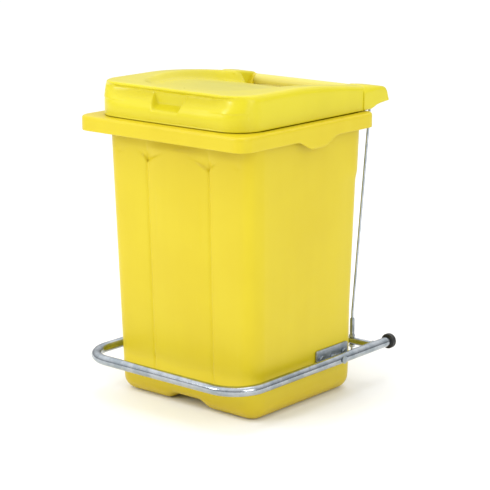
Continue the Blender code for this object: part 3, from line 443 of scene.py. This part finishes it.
def lid_levels():
    """(side inset, side height share, front inset, front height share, run inward) for each ring, as arrays.

    The sides stand straight and turn over in a quarter circle. The front draws in to the cove, comes out to
    the lip and turns over. After the crest every ring runs inward to the middle.
    """
    side_in = [0, 0, 0, 0, 0, 0, 0, 0.0002, 0.0010, 0.0030, 0.0058, 0.0092, 0.0130]
    side_up = [0, 0.12, 0.28, 0.44, 0.57, 0.68, 0.77, 0.825, 0.880, 0.933, 0.970, 0.992, 1.0]
    front_in = [0, 0.001, 0.0004, 0.0006, 0.0032, 0.0082, 0.014, 0.018, 0.0192, 0.015, 0.008, 0.0086, 0.014]
    front_up = [0, 0.055, 0.190, 0.340, 0.470, 0.590, 0.690, 0.780, 0.850, 0.895, 0.930, 0.985, 1.0]
    coarse = np.linspace(0, 1, len(side_in))
    fine = np.linspace(0, 1, 61)
    # a Catmull-Rom run through the few given rings keeps them and rounds the way between them
    t = fine * (len(coarse) - 1)
    k = np.clip(t.astype(int), 0, len(coarse) - 2)
    f = t - k

    def smooth(values):
        v = np.concatenate([[2 * values[0] - values[1]], values, [2 * values[-1] - values[-2]]])
        a, b, c, d = v[k], v[k + 1], v[k + 2], v[k + 3]
        return b + 0.5 * f * (c - a + f * (2 * a - 5 * b + 4 * c - d + f * (3 * (b - c) + d - a)))

    given = [np.array(values) for values in (side_in, side_up, front_in, front_up)]
    wall_rows = np.stack([smooth(values) for values in given])
    run = np.concatenate([np.linspace(0.03, 0.48, 36), np.linspace(0.50, 1.0, 14)])
    top = np.stack([values[-1] + 0 * run for values in given])
    rows = np.concatenate([wall_rows, top], axis=1)
    inward = np.concatenate([0 * fine, run])
    return [values[:, None] for values in rows] + [inward[:, None]]


def make_lid():
    """Outer skin from the lower edge over the crest to the middle, then thickened inward to a shell."""
    pocket_at = [(side * 0.275 - 0.06, side * 0.275 + 0.06, 16) for side in (-1, 1)]
    template = ring_template(50, 46, 22, pocket_at)
    side_in, side_up, front_in, front_up, inward = lid_levels()
    outer_x, outer_y = ring_points(template, lid_half_width, lid_front, lid_rear, 0.0595, 0.0200)
    nx, ny = template[2:]
    bow = 0.0022 * (outer_x / lid_half_width) ** 2 * np.clip(-ny, 0, 1)
    arc = np.minimum(np.abs(outer_x), 0.1395) + 0.0595 * np.arctan2(np.abs(nx), np.maximum(-ny, 1e-6))
    front = np.where(outer_y < 0, 1 - ease(0.100, 0.228, arc), 0)
    inset = side_in * (1 - front) + front_in * front
    share = side_up * (1 - front) + front_up * front
    rise = lid_edge + share * (lid_top - lid_edge)
    pocket_half = 0.034 + 0.009 * np.clip((rise - 0.620) / 0.027, 0, 1)
    pocket = (1 - ease(-0.0035, 0.0030, np.abs(outer_x) - pocket_half)) * front
    pocket = pocket * ease(0.6130, 0.6300, rise) * (1 - ease(0.6450, 0.6530, rise)) * (inward == 0)
    inset = inset + np.maximum(0.0215 - inset, 0) * pocket
    x = outer_x - nx * inset
    y = outer_y - ny * inset + bow * (share < 0.5)
    x, y = x * (1 - inward), (y - 0.02) * (1 - inward) + 0.02
    top = crest(y) - dish(x, y)
    z = lid_edge + share * (top - lid_edge)
    lift = 0.0004 * ease(0.05, 0.20, outer_y) * (1 - share)
    shell = skin("lid_shell", np.stack([x, y + bin_y, z + lift], axis=-1))
    thick = shell.modifiers.new("wall", "SOLIDIFY")
    thick.thickness = wall
    thick.offset = -1
    thick.use_even_offset = False
    return shell


lid = make_lid()
lid_plastic = yellow_plastic("lid_polyethylene", (0.690, 0.600, 0.018, 1), (0.660, 0.570, 0.015, 1), 0.25)
# painted shade: a darker, greener blob with a ragged edge in the middle of the dish stands in for the shade
# of the dish's hollow
dish_shade_shift = {"Vector": lid_plastic.place, "Location": (-0.02, 0.06, -0.64)}
dish_shade_place = {"Vector": lid_plastic.node("Mapping", None, dish_shade_shift)}
dish_shade_reach = lid_plastic.node("VectorMath", {"operation": "LENGTH"}, dish_shade_place, output="Value")
painted_dish_shade = (1 - lid_plastic.step(dish_shade_reach + lid_plastic.noise(14.0, 5.0, 0.6) * 0.16, 0.10, 0.26)) * 0.22
unshaded_lid_colour = Value(lid_plastic, lid_plastic.shader.inputs["Base Color"].links[0].from_socket)
lid_plastic.put("Base Color", lid_plastic.blend(painted_dish_shade, unshaded_lid_colour, (0.480, 0.470, 0.060, 1)))
lid_plastic.on(lid)
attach(lid, "lid")
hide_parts("lid")

# ---- Lid ears ----
# Behind the lid two hollow ears reach back to the hinge line. Each is an upside-down channel that wraps round
# at the rear, moulded with the lid, and a pierced lug hangs inside it for the lift rod's hook.


def ear_paths():
    """The ear's ridge, from the lid over the hinge and down its rear, and its lower edge by station."""
    top_y = np.array([lid_rear - 0.026, lid_rear - 0.013, lid_rear + 0.018, hinge_from_middle])
    rear = [(0.2450, 0.6302), (0.2500, 0.6230), (0.2532, 0.6130), (0.2547, 0.6046)]
    ridge = [(y, crest(y) - drop) for y, drop in zip(top_y, (0.0060, 0.0012, 0.0004, 0.0006))] + rear
    ridge = filleted(ridge, [0, 0.02, 0.02, 0.010, 0.008, 0.015, 0.02, 0], 7, closed=False)
    under = [(lid_rear - 0.026, 0.5925), (0.193, 0.5932), (0.203, 0.5958), (0.212, 0.5995), (0.226, 0.6021)]
    under = filleted(under + rear[-1:], [0, 0.01, 0.01, 0.01, 0.02, 0], 5, closed=False)

    def even(points, count):
        length = np.concatenate([[0], np.cumsum(np.linalg.norm(np.diff(points, axis=0), axis=1))])
        at = np.linspace(0, length[-1], count)
        return np.stack([np.interp(at, length, points[:, i]) for i in (0, 1)], axis=1)

    return even(ridge, 56), even(under, 56)


def make_ear(side, word):
    """Rows follow the ridge. Columns go up the outer plate, over a rounded ridge and down the inner plate."""
    ridge, under = ear_paths()
    outer_x, inner_x, inner_edge = 0.19797, 0.15297, 0.0035
    edge = 0.0115 - 0.0075 * ease(0.10, 0.60, np.linspace(0, 1, len(ridge)))[:, None]
    up = np.linspace(0, 1, 12)[None]
    turn = np.linspace(0, np.pi / 2, 9)[None]
    back = turn[:, ::-1]
    # each row's x, its share of the way from lower edge to ridge, and its drop under the ridge
    round_in = [inner_x + inner_edge * (1 - np.cos(back)), inner_x + 0 * up]
    x = [outer_x + 0 * edge * up, outer_x - edge * (1 - np.cos(turn))]
    x = np.concatenate(x + [part + 0 * edge for part in round_in], axis=1)
    share = np.concatenate([up, 1 + 0 * turn, 1 + 0 * turn, up[:, ::-1]], axis=1)
    inner_drop = [part + 0 * edge for part in (inner_edge * (1 - np.sin(back)), inner_edge * up[:, ::-1])]
    drop = np.concatenate([edge * up, edge * (1 - np.sin(turn))] + inner_drop, axis=1)
    down = under - ridge
    reach = np.maximum(np.linalg.norm(down, axis=1, keepdims=True), 1e-6)
    inward = down / reach * np.minimum(reach / 0.012, 1)
    yz = ridge[:, None] * share[:, :, None] + under[:, None] * (1 - share)[:, :, None]
    yz = yz + inward[:, None] * drop[:, :, None]
    grid = np.concatenate([side * x[:, :, None], yz], axis=-1)
    grid[:, :, 1] += bin_y
    ear = skin("lid_ear_" + word, grid, around=False, turned_in=side < 0)
    thick = ear.modifiers.new("wall", "SOLIDIFY")
    thick.thickness = 0.0032
    thick.offset = -1
    return ear


def outward(made):
    """Turns every face of a closed piece to the outside."""
    shape = bmesh.new()
    shape.from_mesh(made.data)
    bmesh.ops.recalc_face_normals(shape, faces=shape.faces)
    shape.to_mesh(made.data)
    shape.free()
    return made


hook_y = hinge_y - 0.0205
hook_z = hinge_z - 0.0120
lug_inner_x = 0.17197
lug_outer_x = 0.17597


def make_lug(side, word):
    """Plate with a sloping slot: a loop of four edges carried round, its two outlines matched in angle."""
    middle = np.array([hook_y + 0.0018, hook_z + 0.0008])
    angle = np.linspace(0, 2 * np.pi, 49)[:-1]
    slope = math.radians(32)
    along = np.array([math.cos(slope), math.sin(slope)])
    round_way = np.stack([np.cos(angle), np.sin(angle)], axis=1)
    slot = middle + 0.0041 * round_way + 0.0019 * np.sign(round_way @ along)[:, None] * along
    outer = middle + 0.0082 * round_way
    root = middle[1] + 0.0245 * np.minimum(np.sin(angle) * 1.8, 1)
    outer[:, 1] = np.where(np.sin(angle) > 0, root, outer[:, 1])
    near, far = side * lug_outer_x, side * lug_inner_x
    loops = [(near, outer), (far, outer), (far, slot), (near, slot), (near, outer)]
    grid = np.stack([np.concatenate([np.full((len(angle), 1), x), loop], axis=1) for x, loop in loops])
    return outward(skin("rod_lug_" + word, grid, sharp=30))


for side, word in ((-1, "left"), (1, "right")):
    ear_pieces = [make_ear(side, word), make_lug(side, word)]
    lid_plastic.on(*ear_pieces)
    for made in ear_pieces:
        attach(made, "lid")

# ---- Grip bar and lid axle ----
# A paler plastic sleeve between the arms is both handle and hinge barrel. The steel axle runs through it,
# the arms and the inner plates of the ears, and a push-on spring clip holds each end.


def turned(name, radius, height, centre, axis, sides=56):
    """A profile of radius against height turned about an axis, where a radius of 0 closes an end."""
    radius, height = np.asarray(radius, dtype=float), np.asarray(height, dtype=float)
    axis = np.asarray(axis, dtype=float)
    first = np.cross(axis, (0, 0, 1) if abs(axis[2]) < 0.9 else (0, 1, 0))
    first = first / np.linalg.norm(first)
    second = np.cross(axis, first)
    angle = np.linspace(0, 2 * np.pi, sides + 1)[:-1]
    spokes = np.cos(angle)[:, None] * first + np.sin(angle)[:, None] * second
    grid = radius[:, None, None] * spokes[None] + height[:, None, None] * axis + np.asarray(centre)
    return outward(skin(name, grid, sharp=35))


def rounded_rod(radius, length, edge):
    """(radius, height) of a plain bar from 0 to length, its two rims rounded by the edge."""
    turn = np.linspace(0, np.pi / 2, 5)
    r = np.concatenate([[0], radius - edge * (1 - np.sin(turn)), radius - edge * (1 - np.cos(turn)), [0]])
    h = np.concatenate([[0], edge * (1 - np.cos(turn)), length - edge * (1 - np.sin(turn)), [length]])
    return r, h


def pale_plastic():
    """Extruded tube: faint draw lines along its length and a duller, paler yellow than the moulding."""
    finish = Finish("grip_polyethylene", IOR=1.50)
    lines = finish.noise(420.0, 2.0, stretch=(0.02, 1.0, 1.0))
    finish.put("Base Color", finish.blend(lines, (0.70, 0.62, 0.15, 1), (0.66, 0.57, 0.10, 1)))
    finish.put("Roughness", finish.noise(90.0, 3.0) * 0.14 + 0.34)
    finish.put("Normal", finish.relief(lines, 0.00006))
    return finish


def zinc_steel(name, draw, satin=0.10):
    """Bright zinc on steel: cloudy passivation, fine lines along the draw direction and a few dull spots."""
    finish = Finish(name, Metallic=1.0)
    clouds = finish.noise(34.0, 4.0, 0.6)
    lines = finish.noise(520.0, 3.0, 0.6, draw)
    spots = finish.step(finish.noise(210.0, 5.0, 0.65), 0.66, 0.75)
    bright = finish.blend(finish.step(clouds, 0.35, 0.65), (0.44, 0.47, 0.50, 1), (0.30, 0.34, 0.37, 1))
    finish.put("Base Color", finish.blend(spots * 0.45, bright, (0.20, 0.21, 0.22, 1)))
    finish.put("Roughness", clouds * 0.08 + lines * 0.08 + spots * 0.20 + satin)
    finish.put("Normal", finish.relief(lines, 0.00004))
    return finish


grip_low, grip_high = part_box("grip_bar")
grip = turned(
    "grip_sleeve",
    *rounded_rod(0.0135, grip_high[0] - grip_low[0], 0.0012),
    (grip_low[0], hinge_y, hinge_z),
    (1, 0, 0),
)
pale_plastic().on(grip)
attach(grip, "bin")
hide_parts("grip_bar")

cross_zinc = zinc_steel("zinc_cross_bars", (0.03, 1.0, 1.0))
axle_low, axle_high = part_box("lid_axle")
axle = turned(
    "hinge_axle",
    *rounded_rod(0.0040, axle_high[0] - axle_low[0], 0.0006),
    (axle_low[0], hinge_y, hinge_z),
    (1, 0, 0),
    32,
)
cross_zinc.on(axle)
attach(axle, "lid")
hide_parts("lid_axle")


def spring_clip(name, bore, reach, thickness, start, axis):
    """Push-on clip: a domed washer whose bore grips the bar, turned as a closed loop of a bent strip."""
    r = np.array([bore, reach * 0.62, reach * 0.93, reach, reach * 0.97, reach * 0.62, bore, bore])
    h = np.array([0.60, 0.18, 0.0, 0.22, 0.40, 0.62, 1.0, 0.60]) * thickness
    return turned(name, r, h, start, axis, 40)


for side, word in ((-1, "left"), (1, "right")):
    low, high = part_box("axle_clip_" + word)
    start = (low[0] if side > 0 else high[0], hinge_y, hinge_z)
    clip = spring_clip("ear_clip_" + word, 0.0042, 0.0079, 0.0020, start, (side, 0, 0))
    cross_zinc.on(clip)
    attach(clip, "lid")
    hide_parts("axle_clip_" + word)

# ---- Pedal frame ----
# Steel tube, 21 mm across, bent to a U round the front and both sides and plated with bright zinc. A thinner
# tube is welded across its tails behind the bin.


def tube(name, path, radius, reference, sides=40):
    """A circle carried along a path, its ends closed. The path never takes the reference direction."""
    path = np.asarray(path, dtype=float)
    along = np.gradient(path, axis=0)
    along = along / np.linalg.norm(along, axis=1, keepdims=True)
    first = np.cross(along, reference)
    first = first / np.linalg.norm(first, axis=1, keepdims=True)
    second = np.cross(along, first)
    angle = np.linspace(0, 2 * np.pi, sides + 1)[:-1]
    spokes = np.cos(angle)[None, :, None] * first[:, None] + np.sin(angle)[None, :, None] * second[:, None]
    wide = np.broadcast_to(radius, len(path))[:, None, None]
    grid = path[:, None] + wide * spokes
    ends = [np.broadcast_to(path[at], (1, sides, 3)) for at in (0, -1)]
    return outward(skin(name, np.concatenate([ends[0], grid, ends[1]]), sharp=50))


def spaced(points, gap):
    """The same line with a point every gap or so, straight between the given ones."""
    length = np.concatenate([[0], np.cumsum(np.linalg.norm(np.diff(points, axis=0), axis=1))])
    at = np.unique(np.concatenate([length, np.arange(0, length[-1], gap)]))
    at = at[np.concatenate([[True], np.diff(at) > 2e-4])]
    return np.stack([np.interp(at, length, points[:, i]) for i in range(3)], axis=1)


pedal_low, pedal_high = (np.array(corner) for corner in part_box("pedal_frame"))
tube_radius = (pedal_high[2] - pedal_low[2]) / 2
pedal_z = (pedal_high[2] + pedal_low[2]) / 2
leg_x = pedal_high[0] - tube_radius
bar_y = pedal_low[1] + tube_radius
tail_y = pedal_high[1]
pedal_plan = ((-leg_x, tail_y), (-leg_x, bar_y), (leg_x, bar_y), (leg_x, tail_y))
pedal_corners = [(x, y, pedal_z) for x, y in pedal_plan]
pedal_line = spaced(filleted(pedal_corners, 0.070, 24, closed=False), 0.02)
pedal = tube("pedal_tube", pedal_line, tube_radius - 0.00005, (0, 0, 1), 56)
zinc_steel("zinc_tube", (1.0, 1.0, 1.0)).on(pedal)
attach(pedal, "pedal")
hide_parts("pedal_frame")

cross_low, cross_high = (np.array(corner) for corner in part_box("rear_crossbar"))
cross_y = (cross_low[1] + cross_high[1]) / 2
cross_end = leg_x - 0.006
bar_r, bar_h = rounded_rod(0.0075, 2 * cross_end, 0.0003)
crossbar = turned("pedal_crossbar", bar_r, bar_h, (-cross_end, cross_y, pedal_z), (1, 0, 0))
cross_zinc.on(crossbar)
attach(crossbar, "pedal")
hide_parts("rear_crossbar")


def weld_bead(name, centre, radius, side):
    """A fillet of weld round the crossbar: a ring whose thickness ripples as the torch stepped round."""
    angle = np.linspace(0, 2 * np.pi, 97)[:-1]
    around = np.linspace(0, 2 * np.pi, 13)[:-1]
    thick = 0.0021 + 0.0003 * np.sin(angle * 19) + 0.0002 * np.sin(angle * 7 + 1)
    # the ring follows the leg's round side, so it stands nearer the leg above and below
    lean = -side * (np.sqrt(tube_radius**2 - (radius * np.sin(angle)) ** 2) + 0.0002)
    r = radius + thick[:, None] * np.cos(around)[None]
    x = centre[0] + lean[:, None] + thick[:, None] * np.sin(around)[None] * 1.1
    y = centre[1] + r * np.cos(angle)[:, None]
    z = centre[2] + r * np.sin(angle)[:, None]
    grid = np.stack([x, y, z], axis=-1)
    grid = np.concatenate([grid, grid[:1]])
    return outward(skin(name, grid, sharp=60))


weld_zinc = zinc_steel("zinc_welds", (1.0, 1.0, 1.0))
for side, word in ((-1, "left"), (1, "right")):
    weld = weld_bead("crossbar_weld_" + word, (side * leg_x, cross_y, pedal_z), 0.0075, side)
    weld_zinc.on(weld)
    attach(weld, "pedal")

# ---- End caps ----
# Black rubber plugs pushed into the open tails of the tube, each with a thick mushroom head.


def black_rubber():
    """Moulded rubber: charcoal with a dry bloom, a coarse matt grain and scuffed patches."""
    finish = Finish("black_rubber_caps", IOR=1.52)
    bloom = finish.step(finish.noise(70.0, 4.0, 0.6), 0.45, 0.72)
    finish.put("Base Color", finish.blend(bloom, (0.012, 0.012, 0.013, 1), (0.040, 0.040, 0.042, 1)))
    finish.put("Roughness", bloom * 0.20 + 0.42)
    finish.put("Normal", finish.relief(finish.noise(1100.0, 2.0), 0.00008))
    return finish


def cap_profile():
    """(radius, height) of a cap: a domed head with a rounded rim, then the plug that goes into the tube."""
    turn = np.linspace(0, np.pi / 2, 8)
    lip = np.linspace(0, np.pi / 2, 4)
    head_r = [[0, 0.0085], 0.011 + 0.005 * np.sin(turn), 0.0160 - 0.0011 * (1 - np.cos(lip)), [0.0108]]
    head_h = [[0.01372, 0.01378], 0.0088 + 0.005 * np.cos(turn), 0.0014 - 0.0011 * np.sin(lip), [0.0003]]
    plug_r = [0.0085, 0.0085, 0.0]
    plug_h = [0.0003, -0.0195, -0.0195]
    return np.concatenate(head_r + [plug_r]), np.concatenate(head_h + [plug_h])


rubber = black_rubber()
for side, word in ((-1, "left"), (1, "right")):
    cap = turned("tube_cap_" + word, *cap_profile(), (side * leg_x, tail_y, pedal_z), (0, 1, 0), 64)
    rubber.on(cap)
    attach(cap, "pedal")
    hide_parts("end_cap_" + word)

# ---- Pivot brackets ----
# On each side a steel plate, 4 mm thick, is bolted through the tub wall by two hexagon bolts, with washers
# and nuts inside. The pivot bolt passes through the plate, a bush and the leg, and ends in a low cap nut.


def hexagon(name, across, length, start, axis, bore=0.0, twist=0.0):
    """Hexagon bar with chamfered corners: the smaller of the hexagon's radius and a cone at each end."""
    angle = np.linspace(0, 2 * np.pi, 73)[:-1]
    flat = (across / 2) / np.cos((angle + np.pi / 6) % (np.pi / 3) - np.pi / 6)
    share = np.array([0, 0.06, 0.12, 0.18, 0.82, 0.88, 0.94, 1.0])
    cone = across / 2 * 0.96 + 0.9 * np.minimum(share, 1 - share) * length * 1.6
    r = np.minimum(flat[None], cone[:, None])
    axis = np.asarray(axis, dtype=float)
    first = np.cross(axis, (0, 0, 1) if abs(axis[2]) < 0.9 else (0, 1, 0))
    second = np.cross(axis, first)
    spokes = np.cos(angle + twist)[:, None] * first + np.sin(angle + twist)[:, None] * second
    inner = np.full((1, len(angle)), bore)
    r = np.concatenate([inner, r, inner] + ([inner] if bore else []))
    share = np.concatenate([[0], share, [1]] + ([[0]] if bore else []))
    grid = r[:, :, None] * spokes[None] + (share * length)[:, None, None] * axis + np.asarray(start)
    return outward(skin(name, grid, sharp=24))


def plate_outline(low, high, radius):
    """Rectangle in Y and Z with round corners."""
    corners = [(low[1], low[2]), (high[1], low[2]), (high[1], high[2]), (low[1], high[2])]
    return filleted(corners, radius, 8)


plate_zinc = zinc_steel("zinc_plates", (1.0, 0.04, 1.0), 0.34)
bolt_zinc = zinc_steel("zinc_fasteners", (1.0, 1.0, 1.0), 0.26)
pivot_y = frame["record"]["behaviour"]["joints"][1]["pos_m"][1]
for side, word in ((-1, "left"), (1, "right")):
    low, high = (np.array(corner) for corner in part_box("pivot_bracket_" + word))
    plate = slab("side_bracket_" + word, plate_outline(low, high, 0.004), low[0], high[0], 0.0006)
    plate_zinc.on(plate)
    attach(plate, "bin")
    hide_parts("pivot_bracket_" + word)
    face = high[0] if side > 0 else -low[0]
    for place in ("front", "rear"):
        end = word + "_" + place
        bolt_low, bolt_high = (np.array(corner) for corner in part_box("bracket_bolt_" + end))
        y, z = (bolt_low[1:] + bolt_high[1:]) / 2
        head_at = (side * (face + 0.0003), y, z)
        head = hexagon("bolt_head_" + end, 0.0130, 0.0053, head_at, (side, 0, 0), 0.0, 0.3 * side)
        tip = max(abs(bolt_low[0]), abs(bolt_high[0])) - abs(bolt_low[0] - bolt_high[0])
        shank_r, shank_h = rounded_rod(0.0040, face + 0.0013 - tip, 0.0005)
        shank = turned("bolt_shank_" + end, shank_r, shank_h, (side * tip, y, z), (side, 0, 0), 24)
        washer_low, washer_high = (np.array(corner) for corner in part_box("bracket_washer_" + end))
        washer_x = side * min(abs(washer_low[0]), abs(washer_high[0]))
        ring_r = [0.0043, 0.0081, 0.0085, 0.0085, 0.0081, 0.0043, 0.0043]
        ring_h = [0, 0, 0.0003, 0.0013, 0.0016, 0.0016, 0]
        washer = turned("wall_washer_" + end, ring_r, ring_h, (washer_x, y, z), (side, 0, 0), 40)
        nut_low, nut_high = (np.array(corner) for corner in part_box("bracket_nut_" + end))
        nut_x = side * min(abs(nut_low[0]), abs(nut_high[0]))
        nut = hexagon("wall_nut_" + end, 0.0130, 0.0065, (nut_x, y, z), (side, 0, 0), 0.0043, 0.8)
        bolt_zinc.on(head, shank, washer, nut)
        for made in (head, shank, washer, nut):
            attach(made, "bin")
        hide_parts("bracket_bolt_" + end)
        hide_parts("bracket_washer_" + end)
        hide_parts("bracket_nut_" + end)
    cap_low, cap_high = (np.array(corner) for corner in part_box("pivot_cap_" + word))
    cap_x = min(abs(cap_low[0]), abs(cap_high[0]))
    dome = np.linspace(0, np.pi / 2, 7)
    dome_r = np.concatenate([[0.0, 0.0074], 0.0072 + 0.0008 * np.cos(dome), [0.0]])
    dome_h = np.concatenate([[0.0, 0.0], 0.0010 + 0.0016 * np.sin(dome), [0.0032]])
    cap_at = (side * cap_x, pivot_y, pedal_z)
    pivot_cap = turned("pivot_dome_" + word, dome_r, dome_h, cap_at, (side, 0, 0))
    bolt_low, bolt_high = (np.array(corner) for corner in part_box("pivot_bolt_" + word))
    inner_end = min(abs(bolt_low[0]), abs(bolt_high[0]))
    head_at = (side * inner_end, pivot_y, pedal_z)
    pivot_head = hexagon("pivot_head_" + word, 0.0170, 0.0064, head_at, (side, 0, 0))
    pin_r, pin_h = rounded_rod(0.0050, cap_x + 0.0010 - inner_end, 0.0005)
    pivot_pin = turned("pivot_shank_" + word, pin_r, pin_h, head_at, (side, 0, 0), 32)
    bush_low, bush_high = (np.array(corner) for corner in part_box("pivot_bush_" + word))
    bush_r, bush_h = rounded_rod(0.0080, bush_high[0] - bush_low[0], 0.0005)
    bush = turned("pivot_spacer_" + word, bush_r, bush_h, (bush_low[0], pivot_y, pedal_z), (1, 0, 0), 40)
    bolt_zinc.on(pivot_cap, pivot_head, pivot_pin, bush)
    for made in (pivot_cap, pivot_head, pivot_pin, bush):
        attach(made, "bin")
    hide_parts("pivot_cap_" + word)
    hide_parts("pivot_bolt_" + word)
    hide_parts("pivot_bush_" + word)

# ---- Lift rods ----
# A plated wire rod on each side stands in a slot of the crossbar between two nuts, leans outward on its way
# up behind the bin, and hooks inward through the lug in the ear.

rod_zinc = zinc_steel("zinc_rods", (1.0, 1.0, 0.03))
rod_x = 0.1535
rod_top_x = 0.1810
for side, word in ((-1, "left"), (1, "right")):
    body = "rod_" + word
    foot = np.array([side * rod_x, cross_y, pedal_z - 0.022])
    knee = np.array([side * rod_x, cross_y, 0.150])
    bend = np.array([side * rod_top_x, hook_y, hook_z])
    end = np.array([side * (lug_inner_x - 0.006), hook_y, hook_z])
    line = spaced(filleted([foot, knee, bend, end], [0, 0.05, 0.005, 0], 9, closed=False), 0.02)
    rod = tube("rod_wire_" + word, line, 0.00272, (0, 1, 0), 24)
    rod_zinc.on(rod)
    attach(rod, body)
    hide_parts("lift_rod_" + word)
    sleeve_low, sleeve_high = (np.array(corner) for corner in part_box("rod_sleeve_" + word))
    length = sleeve_high[2] - sleeve_low[2]
    sleeve_r = np.array([0.0030, 0.0047, 0.0052, 0.0052, 0.0049, 0.0052, 0.0052, 0.0044, 0.0030, 0.0030])
    sleeve_h = np.array([0, 0, 0.0006, 0.0050, 0.0056, 0.0062, length - 0.0035, length, length, 0])
    sleeve_at = (side * rod_x, cross_y, sleeve_low[2])
    sleeve = turned("rod_ferrule_" + word, sleeve_r, sleeve_h, sleeve_at, (0, 0, 1), 32)
    nuts = []
    for place in ("lower", "upper"):
        low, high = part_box("rod_nut_" + word + "_" + place)
        nut_at = (side * rod_x, cross_y, low[2])
        nut = hexagon("crossbar_nut_" + word + "_" + place, 0.0113, 0.0060, nut_at, (0, 0, 1), 0.0030)
        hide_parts("rod_nut_" + word + "_" + place)
        nuts.append(nut)
    low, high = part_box("rod_clip_" + word)
    start = (low[0] if side > 0 else high[0], hook_y, hook_z)
    clip = spring_clip("hook_clip_" + word, 0.0029, 0.0059, 0.0020, start, (side, 0, 0))
    bolt_zinc.on(sleeve, clip, *nuts)
    for made in (sleeve, clip, *nuts):
        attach(made, body)
    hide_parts("rod_sleeve_" + word)
    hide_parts("rod_clip_" + word)

# ---- Floor, light and camera ----
# A wide pale floor under soft white light: a panel at the front left, weaker ones at the right and overhead,
# and a bright sky all round, which the zinc reflects.

floor_mesh = bpy.data.meshes.new("floor")
floor_mesh.from_pydata([(-30, -30, 0), (30, -30, 0), (30, 30, 0), (-30, 30, 0)], [], [(0, 1, 2, 3)])
floor = bpy.data.objects.new("floor", floor_mesh)
bpy.context.scene.collection.objects.link(floor)
floor_finish = Finish("pale_floor", Base_Color=(0.93, 0.93, 0.93, 1))
floor_finish.put("Roughness", floor_finish.noise(2.0) * 0.1 + 0.8)
floor_finish.on(floor)

world = bpy.data.worlds.new("studio")
world.use_nodes = True
bpy.context.scene.world = world
sky = world.node_tree.nodes["Background"]
sky.inputs["Color"].default_value = (0.985, 0.99, 1.0, 1)
towards = world.node_tree.nodes.new("ShaderNodeTexCoord")
split = world.node_tree.nodes.new("ShaderNodeSeparateXYZ")
world.node_tree.links.new(towards.outputs["Generated"], split.inputs["Vector"])
strength = world.node_tree.nodes.new("ShaderNodeMath")
strength.operation = "MULTIPLY"
world.node_tree.links.new(strength.outputs["Value"], sky.inputs["Strength"])
# the sky brightens with height and towards the left, and its strength is the product of the two
slopes = (("Z", 0.02, 0.75, 0.30, 1.48), ("X", 1.0, -1.0, 0.70, 1.16))
for place, (axis, low, high, dim, bright) in enumerate(slopes):
    ramp = world.node_tree.nodes.new("ShaderNodeMapRange")
    for name, value in (("From Min", low), ("From Max", high), ("To Min", dim), ("To Max", bright)):
        ramp.inputs[name].default_value = value
    world.node_tree.links.new(split.outputs[axis], ramp.inputs["Value"])
    world.node_tree.links.new(ramp.outputs["Result"], strength.inputs[place])


def soft_panel(name, place, aim, size, power):
    """A square light panel at a place, facing the aim."""
    light = bpy.data.lights.new(name, "AREA")
    light.size = size
    light.energy = power
    panel = bpy.data.objects.new(name, light)
    bpy.context.scene.collection.objects.link(panel)
    towards = np.array(place) - np.array(aim)
    flat = math.hypot(towards[0], towards[1])
    panel.location = place
    panel.rotation_euler = (math.atan2(flat, towards[2]), 0, math.atan2(towards[1], towards[0]) + math.pi / 2)


soft_panel("key_panel", (-1.3, -2.8, 1.7), (0, 0, 0.30), 1.1, 35)
soft_panel("side_panel", (3.0, -0.6, 1.4), (0, 0, 0.35), 1.6, 24)
soft_panel("top_panel", (0.2, 0.4, 3.0), (0, 0, 0.4), 1.6, 12)

lens = bpy.data.cameras.new("camera")
lens.lens = 128.9
lens.sensor_width = 36.0
lens.clip_end = 200
camera = bpy.data.objects.new("camera", lens)
camera.location = (2.3097, -2.7040 + bin_y, 1.1575)
camera.rotation_euler = (math.radians(90 - 13.41), 0, math.radians(40.2))
bpy.context.scene.collection.objects.link(camera)
bpy.context.scene.camera = camera
bpy.context.scene.view_settings.view_transform = "Standard"
